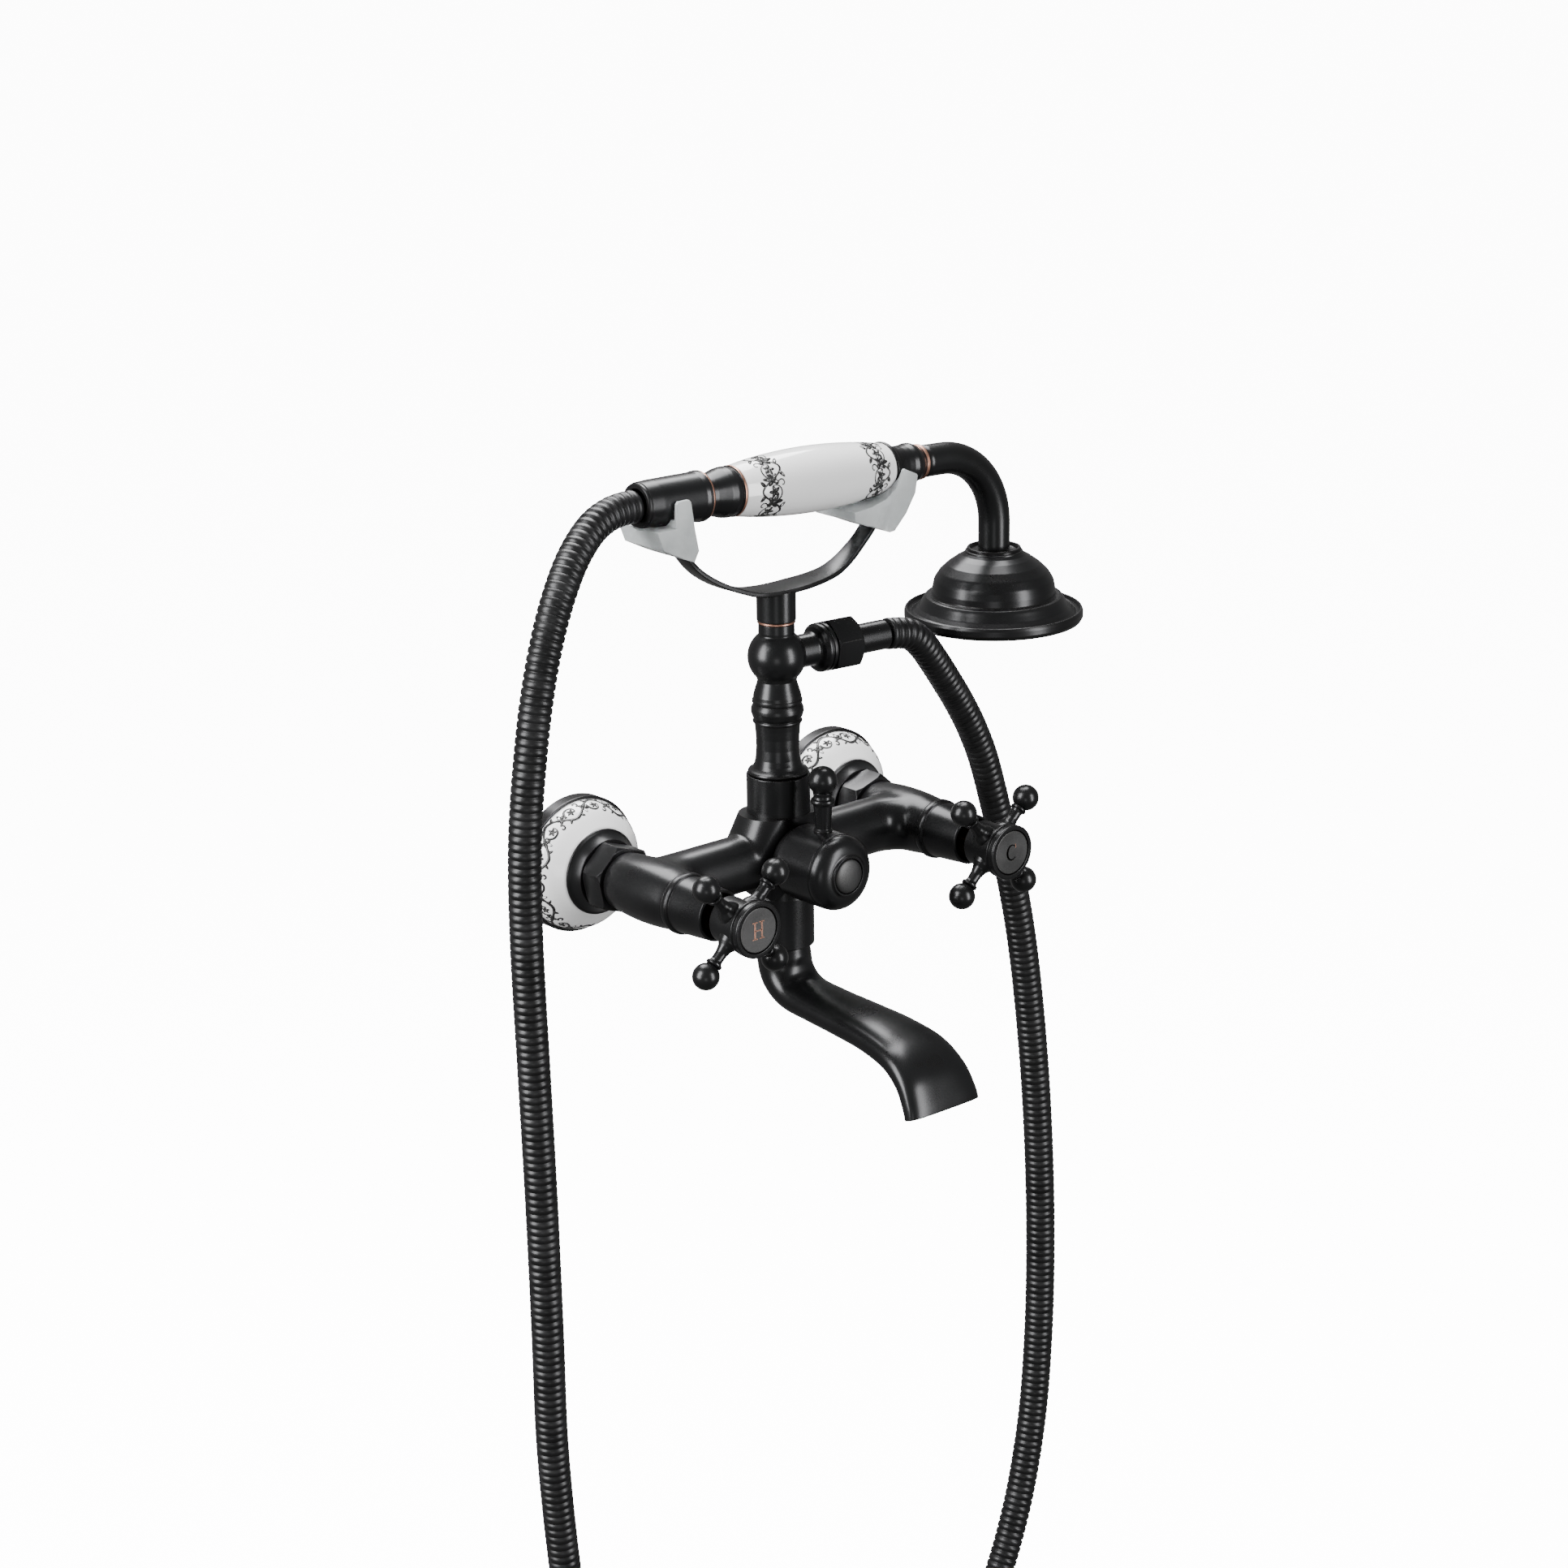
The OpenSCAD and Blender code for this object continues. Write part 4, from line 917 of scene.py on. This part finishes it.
class BuildDiverter(bpy.types.Operator):
    """Build the diverter's cap, ring, centre button and lever"""
    bl_idname = "mixer.diverter"
    bl_label = "Diverter"

    def execute(self, context):
        a, front = CAP_BACK, CAP_FRONT
        cap_r, ring_r, seam = 17.1, 9.1, CAP_BACK + 21.8
        dome = quarter(ring_r + 0.2, seam + 0.4, cap_r - ring_r - 0.3, front - seam - 0.5)
        cap = turned([
            (cap_r - 1.6, a), (cap_r, a, 0.4), (cap_r, seam - 0.5, 0.2),
            (cap_r - 0.25, seam - 0.15, 0.1), (cap_r - 0.25, seam + 0.15, 0.1), *dome,
            (ring_r + 0.1, front + 0.3, 0.1),
            (ring_r - 0.15, front + 0.6, 0.2), (ring_r - 0.95, front + 0.6, 0.2),
            (ring_r - 1.1, front + 0.2, 0.1), (ring_r - 1.1, front - 2.3), (4, front - 2.3),
            (4, a + 7), (9.4, a + 7), (9.4, a + 9), (cap_r - 1.6, a + 9)], FORWARD, closed=True,
            segments=128)
        black_piece("diverter_cap_finished", cap, "diverter_knob", "diverter_cap")
        r = ring_r - 1.4
        button = [(0, front - 2.3), (r, front - 2.3, 0), *quarter(0, front + 0.1, r, 1.65)]
        black_piece("diverter_centre", turned(button, FORWARD), "diverter_knob",
                    "diverter_button", finish="face")
        lever = Matrix.Translation((centre("diverter_lever").x, centre("diverter_lever").y, 0))
        top = heights("diverter_lever")[1]
        size = radius("diverter_lever")
        tip = top - 2 * size
        rod = turned([
            (0, cap_r - 1.6), (3.9, cap_r - 1.6, 0), (4.2, cap_r + 0.5, 0.3),
            (3.4, cap_r + 1.2, 0.4),
            (4.25, tip - 4.7, 0.4), (4.45, tip - 4.1, 0.2), (5.2, tip - 3.7, 0.5),
            (5.5, tip - 2.8, 0.8), (5.2, tip - 1.9, 0.5), (4.3, tip - 1.5, 0.2),
            (4.1, tip - 0.4, 0.5), (4.4, tip + 1.4, 0), (0, tip + 1.5)], lever, segments=64)
        head = ball(size, lever @ Matrix.Translation((0, 0, (top - size) * MM)))
        black_piece("diverter_lever_finished", joined([rod, head]), "diverter_knob",
                    "diverter_lever")
        return {"FINISHED"}


# ---- spout ----

# Cross-sections down the spout: distance from the wall, height, lean from straight down,
# half depth, half width and squareness, as the frame's spout has them.
SPOUT_SECTIONS = [
    (56, -42.2, 0, 12.3, 12.3, 2), (56.4, -47, 5, 12.4, 12.4, 2),
    (59.3, -56.4, 34, 10.8, 12.7, 2.1), (68.4, -62.8, 70, 8.2, 13.2, 2.2),
    (84, -64.6, 86, 7.2, 14, 2.3), (104, -65.8, 86, 7, 15, 2.4),
    (124, -67.4, 82, 6.9, 16.4, 2.5), (141, -71, 66, 6.8, 17.9, 2.7),
    (152, -78.2, 40, 6.3, 19.2, 2.9), (157.6, -86.8, 24, 5.6, 20.2, 3.1),
    (159.6, -92.2, 18, 5.1, 20.6, 3.2)]


def superellipse_ring(bm, section, shrink=0.0, segments=40):
    """A closed ring of edges with a section's shape, in its place."""
    out, height, lean, depth, width, square = section
    ring = bmesh.ops.create_circle(bm, segments=segments, radius=1)["verts"]
    power = 2 / square
    for vert in ring:
        across = math.copysign(abs(vert.co.x) ** power, vert.co.x) * (width - shrink)
        deep = math.copysign(abs(vert.co.y) ** power, vert.co.y) * (depth - shrink)
        lean_r = math.radians(lean)
        vert.co = Vector((across, -out - deep * math.cos(lean_r),
                          height + deep * math.sin(lean_r))) * MM
    return [e for e in bm.edges if e.verts[0] in ring and e.verts[1] in ring]


class BuildSpout(bpy.types.Operator):
    """Build the flat S-shaped spout with its hollow mouth"""
    bl_idname = "mixer.spout"
    bl_label = "Spout"

    def execute(self, context):
        bm = bmesh.new()
        outside = self.smooth_sections()
        loops = [superellipse_ring(bm, s) for s in outside]
        bridge(bm, loops)
        wall = 1.3
        deep = [superellipse_ring(bm, s, wall) for s in outside[-1:-14:-4]]
        bridge(bm, [loops[-1], *deep])
        close(bm, deep[-1], loops[0])
        turn_outward(bm)
        lip = set(loops[-1]) | set(deep[0])
        bmesh.ops.bevel(bm, geom=list(lip), offset=0.35 * MM, offset_type="OFFSET", segments=3,
                        profile=0.5, affect="EDGES", material=-1)
        spout = piece("spout_finished", bm)
        fit_out(spout, "spout_arm", "black_metal", [material("black")], "spout")
        return {"FINISHED"}

    def smooth_sections(self):
        """The sections with smooth steps between them."""
        half = curve_through([s[:3] for s in SPOUT_SECTIONS], 5)
        rest = curve_through([s[3:] for s in SPOUT_SECTIONS], 5)
        return [(*a, *b) for a, b in zip(half, rest)]


# ---- riser and cradle ----

class BuildRiser(bpy.types.Operator):
    """Build the turned riser with its ball and its hose outlet"""
    bl_idname = "mixer.riser"
    bl_label = "Riser"

    def execute(self, context):
        base, ball_z, ball_r = SOCKET_TOP, OUTLET_Z / MM, 13.0
        bead = 67.0
        outline = [
            (0, base - 8), (11.1, base - 8, 0), (11.1, base + 0.4, 0), (13.2, base + 0.4, 0.2),
            (13.6, base + 1.1, 0.5), (13.3, base + 1.9, 0.5), (12.3, base + 2.5, 0.3),
            (11.3, base + 3.3, 0.8), (10.6, base + 4.6, 2), (10, base + 7.4, 4),
            (9.65, base + 12, 6), (9.7, base + 17, 6), (10, base + 21, 4),
            (10.3, bead - 6, 0.4), (10.9, bead - 5.8, 0.2), (11.1, bead - 5.2, 0.3),
            (10.9, bead - 4.6, 0.2), (10.4, bead - 4.4, 0.2), (11.2, bead - 3, 1.4),
            (11.8, bead - 0.8, 2), (11.7, bead + 0.9, 2), (11, bead + 2.4, 0.5),
            (10.7, bead + 2.8, 0.15), (11.2, bead + 3.4, 0.3), (11.2, bead + 4.6, 0.4),
            (10.8, bead + 5.1, 0.3), (10.7, bead + 6.6, 1), (10, bead + 9, 2),
            (9.2, bead + 11.6, 2), (8.75, bead + 13.4, 1)]
        for k in range(1, 25):
            angle = math.radians(-48 + 100 * k / 24)
            outline.append((ball_r * math.cos(angle), ball_z + ball_r * math.sin(angle), 0))
        ring = CRADLE_RING_Z
        outline += [(8.1, ball_z + 11.4, 0.6), (8, ring - 0.2, 0.2), (7.6, ring, 0.1),
                    (0, ring)]
        column = turned(outline, RISER_AXIS)
        black_piece("riser_finished", column, "riser", "riser_column")
        collar = turned([
            (0, 9), (7.4, 9, 0), (7.4, 19.2, 1.6), (9.6, 20.4, 0.6), (11, 21.9, 0.8),
            (11, 23.4, 0.4), (10.4, 23.8, 0.15), (10.4, 24.1, 0.15), (11, 24.4, 0.3),
            (11, 26, 0.3), (10.3, 26, 0.1), (10.3, 36), (0, 36)], OUTLET_AXIS)
        black_piece("hose_outlet", collar, "riser")
        sleeve = turned([(6, 37.5), (6.75, 37.5, 0), (6.75, 58.9, 0.5), (6, 59.2, 0.2)],
                        OUTLET_AXIS, closed=True, segments=64)
        black_piece("hose_sleeve", sleeve, "riser", "hose_ferrule")
        return {"FINISHED"}


# The underside of the cradle's strap, in mm: x, then height above its lowest point.
STRAP_LINE = [(-61.2, 36), (-59.3, 33), (-55.7, 27), (-51.9, 22), (-48.2, 18), (-42.6, 13.5),
              (-34.2, 8.5), (-24.5, 4.2), (-16, 1.4), (-8, 0.4), (0, 0), (9, 0.1), (21, 0.8),
              (31, 2.4), (37.5, 5), (42.5, 8), (46.5, 11), (50.7, 14.5), (55.2, 19), (59, 24),
              (62, 29)]
STRAP_WIDTH, STRAP_END_WIDTH, STRAP_THICKNESS = 16.0, 9.0, 2.2


class BuildCradle(bpy.types.Operator):
    """Build the cradle's strap, its stem and the plastic hooks"""
    bl_idname = "mixer.cradle"
    bl_label = "Cradle"

    def execute(self, context):
        ring = CRADLE_RING_Z
        strap_z = ring + 14
        bm = bmesh.new()
        line = curve_through([(x, z) for x, z in STRAP_LINE], 3)
        verts = [bm.verts.new((x * MM, 0, (strap_z + z) * MM)) for x, z in line]
        edges = [bm.edges.new(pair) for pair in zip(verts, verts[1:])]
        made = bmesh.ops.extrude_edge_only(bm, edges=edges)["geom"]
        bmesh.ops.translate(bm, verts=[v for v in made if isinstance(v, bmesh.types.BMVert)],
                            vec=(0, -MM, 0))
        for vert in bm.verts:
            taper = min(max((abs(vert.co.x) / MM - 12) / 38, 0), 1)
            half = (STRAP_WIDTH + (STRAP_END_WIDTH - STRAP_WIDTH) * taper) / 2 * MM
            vert.co.y = RISER.y + (half if vert.co.y > -MM / 2 else -half)
        turn_outward(bm)
        if bm.faces[:][0].normal.z > 0:
            bmesh.ops.reverse_faces(bm, faces=bm.faces[:])
        bmesh.ops.solidify(bm, geom=bm.faces[:], thickness=STRAP_THICKNESS * MM)
        turn_outward(bm)
        rims = [e for e in bm.edges if e.is_manifold and e.calc_face_angle() > 1.2]
        bmesh.ops.bevel(bm, geom=rims, offset=0.4 * MM, offset_type="OFFSET", segments=3,
                        profile=0.5, affect="EDGES", material=-1)
        stem = turned([(0, ring + 1.2), (8.4, ring + 1.2, 0.1), (8.75, ring + 1.7, 0.2),
                       (8.75, strap_z + 1, 0), (0, strap_z + 1)], RISER_AXIS)
        black_piece("cradle_strap_finished", joined([bm, stem]), "riser", "cradle_strap")
        edge = turned([(5, ring), (8.1, ring, 0.1), (8.5, ring + 0.35, 0.1), (8.5, ring + 0.8, 0.1),
                       (8.2, ring + 1.2, 0.1), (5, ring + 1.2)], RISER_AXIS, closed=True,
                      tints=[(ring + 0.1, ring + 1.1, 7.9, 1)])
        fit_out(piece("cradle_copper_ring", edge), "riser", "brass",
                [material("black"), material("copper")], "cradle_lock_ring")
        for side in SIDES:
            hook = softened_copy(f"cradle_hook_{side}", f"{side}_hook", 0.45, 30)
            fit_out(hook, "riser", "plastic", [material("milky")], f"cradle_hook_{side}")
        return {"FINISHED"}


# ---- hand shower ----

def grip_outline(s):
    """The ceramic grip's radius along the handle."""
    return 14.7 - 3.6 * ((s - 18.9) / 43.7) ** 2


class BuildGrip(bpy.types.Operator):
    """Build the cone nut, the ferrules and the ceramic grip with its printed scrolls"""
    bl_idname = "mixer.grip"
    bl_label = "Grip"

    def execute(self, context):
        metal = [material("black"), material("copper")]
        nut = turned([
            (6, -60), (7.2, -60), (7.2, -77.9, 0.3), (9, -78, 0.3), (9.5, -77.5, 0.2),
            (9.5, -76.6, 0.2), (9.9, -76.2, 0.2), (10.3, -70, 0), (10.8, -47, 0.2),
            (11.1, -45.4, 0.6), (11.15, -43.6, 0.4), (10.9, -42.8, 0.2), (6, -42.6)],
            GRIP_AXIS, closed=True, tints=[(-44.3, -42.5, 10.4, 1)])
        fit_out(piece("cone_nut", nut), "handset", "black_metal", metal, "hose_cone_nut")
        tail = turned([
            (6, -42.6), (8.6, -42.6, 0.2), (8.6, -41.2, 0.6), (8.9, -39.2, 1.5),
            (9.8, -36, 2.5), (10.8, -32.6, 2.5), (11.15, -29.6, 2), (11, -27.2, 0.8),
            (10.6, -26.5, 0.15), (11.25, -26, 0.2), (11.25, -24.9, 0.2), (6, -24.8)],
            GRIP_AXIS, closed=True, tints=[(-26.1, -24.7, 10.4, 1)])
        fit_out(piece("tail_ferrule", tail), "handset", "black_metal", metal,
                "grip_tail_ferrule")
        start, end, steps = -24.7, 62.5, 40
        outline = [(6.4, start), (grip_outline(start), start, 0.4)]
        for k in range(1, steps):
            s = start + (end - start) * k / steps
            outline.append((grip_outline(s), s, 0))
        outline += [(grip_outline(end), end, 0.4), (6.4, end)]
        fit_out(piece("ceramic_handle", turned(outline, GRIP_AXIS, closed=True)), "handset",
                "ceramic", [material("glaze")], "ceramic_grip")
        neck = turned([
            (6, 62.6), (11.3, 62.6, 0.3), (11.7, 63.2, 0.3), (11.5, 64.3, 0.3), (10.2, 65.6, 0.8),
            (9.2, 67.2, 1), (8.8, 69.6, 2), (8.7, 73, 2), (8.9, 76, 1), (9.35, 78.2, 0.8),
            (9.3, 79.8, 0.8), (8.6, 81.6, 1), (7.8, 83.4, 0.4), (7.7, 84.2, 0.2),
            (8.1, 84.6, 0.15), (8.1, 85.7, 0.15), (6, 86)], GRIP_AXIS, closed=True,
            tints=[(84.4, 85.9, 7.4, 1)])
        fit_out(piece("neck_ferrule", neck), "handset", "black_metal", metal,
                "grip_neck_ferrule")
        for name, middle, flip in (("tail_scroll", -11.5, 1), ("neck_scroll", 51.5, -1)):
            size = grip_outline(middle)
            drawing = vine(math.tau * size, 13, 4, 0.8)

            def on_grip(x, y, middle=middle, size=size, flip=flip):
                s = middle + flip * y
                return x / size + 0.35, (grip_outline(s), s), 0.03
            print_on(name, drawing, on_grip, GRIP_AXIS, "handset", "ceramic")
        return {"FINISHED"}


class BuildHead(bpy.types.Operator):
    """Build the bent neck and the bell head with its spray face"""
    bl_idname = "mixer.head"
    bl_label = "Shower head"

    def execute(self, context):
        self.neck()
        self.bell()
        return {"FINISHED"}

    def neck(self):
        """A round tube swept from the grip over and down into the head."""
        bend, size = 35.0, 7.3
        tilt = math.asin(-(GRIP_AXIS.to_3x3() @ Vector((0, 0, 1))).z)
        centre_x = HEAD.x / MM - bend
        start_x = centre_x + bend * math.sin(tilt)
        start_z = GRIP_ORIGIN.z / MM - start_x * math.tan(tilt)
        centre_z = start_z - bend * math.cos(tilt)
        line = [GRIP_AXIS @ Vector((0, 0, s * MM)) for s in (85.5, 90, 96)]
        for k in range(25):
            angle = math.pi / 2 - tilt - (math.pi / 2 - tilt) * k / 24
            line.append(Vector((centre_x + bend * math.cos(angle), RISER.y / MM,
                                centre_z + bend * math.sin(angle))) * MM)
        for z in (centre_z - 6, centre_z - 14, HEAD_TOP - 4):
            line.append(Vector((HEAD.x, RISER.y, z * MM)))
        bm = bmesh.new()
        loops = []
        for i, point in enumerate(line):
            ahead = line[min(i + 1, len(line) - 1)] - line[max(i - 1, 0)]
            ring = bmesh.ops.create_circle(bm, segments=48, radius=size * MM)["verts"]
            for vert in ring:
                across, along = Vector((0, 1, 0)), ahead.normalized()
                vert.co = point + across * vert.co.x + along.cross(across) * vert.co.y
            loops.append([e for e in bm.edges if e.verts[0] in ring and e.verts[1] in ring])
        bridge(bm, loops)
        close(bm, loops[0], loops[-1])
        turn_outward(bm)
        black_piece("bent_neck", bm, "handset", "neck_tube")

    def bell(self):
        """The bell, its spray plate and the nozzles."""
        z, top = HEAD_Z, HEAD_TOP
        outline = [
            (36.8, z + 0.1, 0.3), (38.6, z, 0.4), (40.4, z + 0.3, 0.8), (41.4, z + 2, 1.2),
            (41.4, z + 4.6, 0.7), (40.8, z + 6, 0.5), (40, z + 6, 0.4), (39.3, z + 4.6, 0.6),
            (38.4, z + 3.9, 0.6), (36.6, z + 5, 1.5), (34.6, z + 6.9, 2), (33.2, z + 9.2, 1.2),
            (32.4, z + 10.6, 0.6), (31.6, z + 11.7, 0.5), (30.4, z + 12, 0.4),
            (28.9, z + 11.9, 0.3), (28.5, z + 12.6, 0.4), (28.4, z + 15.4, 3),
            (27.6, z + 19.4, 5), (25.2, z + 23.2, 5), (21.6, z + 26.6, 5), (17.4, z + 29.6, 3),
            (14.6, z + 31.2, 1.5), (13.3, z + 32.4, 0.6), (13.3, z + 33, 0.3),
            (12.3, z + 33.2, 0.15), (12.3, z + 33.6, 0.15), (12.6, z + 34, 0.2),
            (12.2, top, 0.2), (11.2, top, 0.3), (10.4, top - 1.6, 0.3), (7, top - 1.8),
            (7, top - 4.2), (12, top - 4.2), (22, z + 22), (26, z + 13), (26, z + 9),
            (36.8, z + 2.8)]
        bell = turned(outline, HEAD_AXIS, closed=True, segments=144)
        black_piece("bell_head", bell, "handset", "head_shell")
        plate = turned([(0, z + 0.9), (30, z + 0.8, 8), (34.6, z + 0.9, 0.4), (35.4, z + 1.4, 0.4),
                        (36.5, z + 1.4, 0.2), (36.5, z + 2.5), (0, z + 2.5)], HEAD_AXIS,
                       segments=144)
        black_piece("spray_plate", plate, "handset", "spray_face")
        outline = [(0, z - 0.75), (0.5, z - 0.75, 0.1), (0.5, z - 0.3, 0.05), (0.9, z - 0.75, 0.15),
                   (1.3, z + 0.2, 0.2), (1.7, z + 0.95, 0), (0, z + 0.95)]
        parts = []
        for ring, count in ((0, 1), (9, 6), (18, 12), (27, 18)):
            for k in range(count):
                turn = Matrix.Rotation(math.tau * k / count, 4, "Z")
                place = turn @ Matrix.Translation((ring * MM, 0, 0))
                parts.append(turned(outline, HEAD_AXIS @ place, segments=16))
        fit_out(piece("nozzles", joined(parts)), "handset", "rubber", [material("nozzle")],
                "spray_nozzles")


# ---- inner pieces that keep the frame's own shapes ----

class FinishInnerPieces(bpy.types.Operator):
    """Give every node that stays as it is its material"""
    bl_idname = "mixer.inner_pieces"
    bl_label = "Inner pieces"

    def execute(self, context):
        finishes = {"brass": "brass", "rubber": "rubber", "steel": "steel", "ceramic": "glaze",
                    "plastic": "milky", "hose": "hose", "black_metal": "black"}
        slots = {s["node"]: s["material_slot"] for s in frame["record"]["subparts"]}
        for name, node in NODES.items():
            if not node.hide_render:
                node.data.materials.clear()
                node.data.materials.append(material(finishes[slots[name]]))
        return {"FINISHED"}


# ---- stage ----

class BuildStage(bpy.types.Operator):
    """Set up the floor, the soft lights and the camera"""
    bl_idname = "mixer.stage"
    bl_label = "Stage"

    def execute(self, context):
        stage = context.scene.mixer_stage
        self.camera(context, stage)
        self.floor(context)
        self.world(context)
        aim = Vector((0, -0.06, 0.05))
        for name, azimuth, elevation, distance, size, energy in (
                ("left softbox", -100, 22, 1.6, (0.8, 1.5), 72),
                ("right softbox", 18, 8, 1.7, (0.5, 1.4), 34),
                ("top softbox", 150, 62, 1.5, (1.2, 1.2), 80),
                ("front fill", -41, -5, 2.4, (0.7, 0.7), 4)):
            self.softbox(context, name, aim, azimuth, elevation, distance, size, energy)
        return {"FINISHED"}

    def camera(self, context, stage):
        """A camera at its place, aimed at the target and rolled a little."""
        data = bpy.data.cameras.new("Camera")
        data.lens = stage.lens
        data.sensor_width = 36
        camera = bpy.data.objects.new("Camera", data)
        back = Vector(stage.position) - Vector(stage.target)
        turn = back.to_track_quat("Z", "Y").to_matrix().to_4x4()
        camera.matrix_world = (Matrix.Translation(stage.position) @ turn
                               @ Matrix.Rotation(stage.roll, 4, "Z"))
        context.scene.collection.objects.link(camera)
        context.scene.camera = camera

    def floor(self, context):
        """A plain pale floor below the hose's loop."""
        bm = bmesh.new()
        bmesh.ops.create_grid(bm, x_segments=1, y_segments=1, size=14)
        bmesh.ops.translate(bm, verts=bm.verts[:], vec=(0, 0, -0.62))
        floor = piece("floor", bm, smooth=False)
        pale = bpy.data.materials.new("Pale floor")
        pale.use_nodes = True
        shader = pale.node_tree.nodes["Principled BSDF"]
        shader.inputs["Base Color"].default_value = (0.9, 0.9, 0.9, 1)
        shader.inputs["Roughness"].default_value = 0.9
        shader.inputs["Emission Color"].default_value = (1, 1, 1, 1)
        shader.inputs["Emission Strength"].default_value = 12
        floor.data.materials.append(pale)
        floor.visible_diffuse = False
        floor.visible_glossy = False
        floor.visible_transmission = False

    def world(self, context):
        """A dim even room."""
        world = bpy.data.worlds.new("Studio")
        world.use_nodes = True
        world.node_tree.nodes["Background"].inputs["Color"].default_value = (1, 1, 1, 1)
        world.node_tree.nodes["Background"].inputs["Strength"].default_value = 0.2
        context.scene.world = world

    def softbox(self, context, name, aim, azimuth, elevation, distance, size, energy):
        """A rectangular light that faces the aim."""
        light = bpy.data.lights.new(name, "AREA")
        light.shape = "RECTANGLE"
        light.size, light.size_y = size
        light.energy = energy
        a, e = math.radians(azimuth), math.radians(elevation)
        away = Vector((math.sin(a) * math.cos(e), -math.cos(a) * math.cos(e), math.sin(e)))
        box = bpy.data.objects.new(name, light)
        box.matrix_world = (Matrix.Translation(aim + away * distance)
                            @ away.to_track_quat("Z", "Y").to_matrix().to_4x4())
        context.scene.collection.objects.link(box)


# ---- panel and registration ----

BUILDERS = (BuildStage, BuildHose, BuildFlanges, BuildNuts, BuildBody, BuildValves, BuildHandles,
            BuildDiverter, BuildSpout, BuildRiser, BuildCradle, BuildGrip, BuildHead,
            FinishInnerPieces)


class MixerPanel(bpy.types.Panel):
    """Sizes, colours and the steps that build the mixer"""
    bl_idname = "VIEW3D_PT_mixer"
    bl_label = "Bath Mixer"
    bl_space_type = "VIEW_3D"
    bl_region_type = "UI"
    bl_category = "Bath Mixer"

    def draw(self, context):
        layout = self.layout
        for settings in (context.scene.mixer_sizes, context.scene.mixer_colours,
                         context.scene.mixer_stage):
            box = layout.box()
            for name in settings.bl_rna.properties.keys():
                if name not in ("rna_type", "name"):
                    box.prop(settings, name)
        for builder in BUILDERS:
            layout.operator(builder.bl_idname)


CLASSES = (MixerSizes, MixerColours, MixerStage, *BUILDERS, MixerPanel)


def register():
    for cls in CLASSES:
        bpy.utils.register_class(cls)
    bpy.types.Scene.mixer_sizes = PointerProperty(type=MixerSizes)
    bpy.types.Scene.mixer_colours = PointerProperty(type=MixerColours)
    bpy.types.Scene.mixer_stage = PointerProperty(type=MixerStage)


def unregister():
    del bpy.types.Scene.mixer_sizes
    del bpy.types.Scene.mixer_colours
    del bpy.types.Scene.mixer_stage
    for cls in reversed(CLASSES):
        bpy.utils.unregister_class(cls)


def main():
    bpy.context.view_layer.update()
    register()
    for builder in BUILDERS:
        group, call = builder.bl_idname.split(".")
        getattr(getattr(bpy.ops, group), call)()


if __name__ == "__main__":
    main()
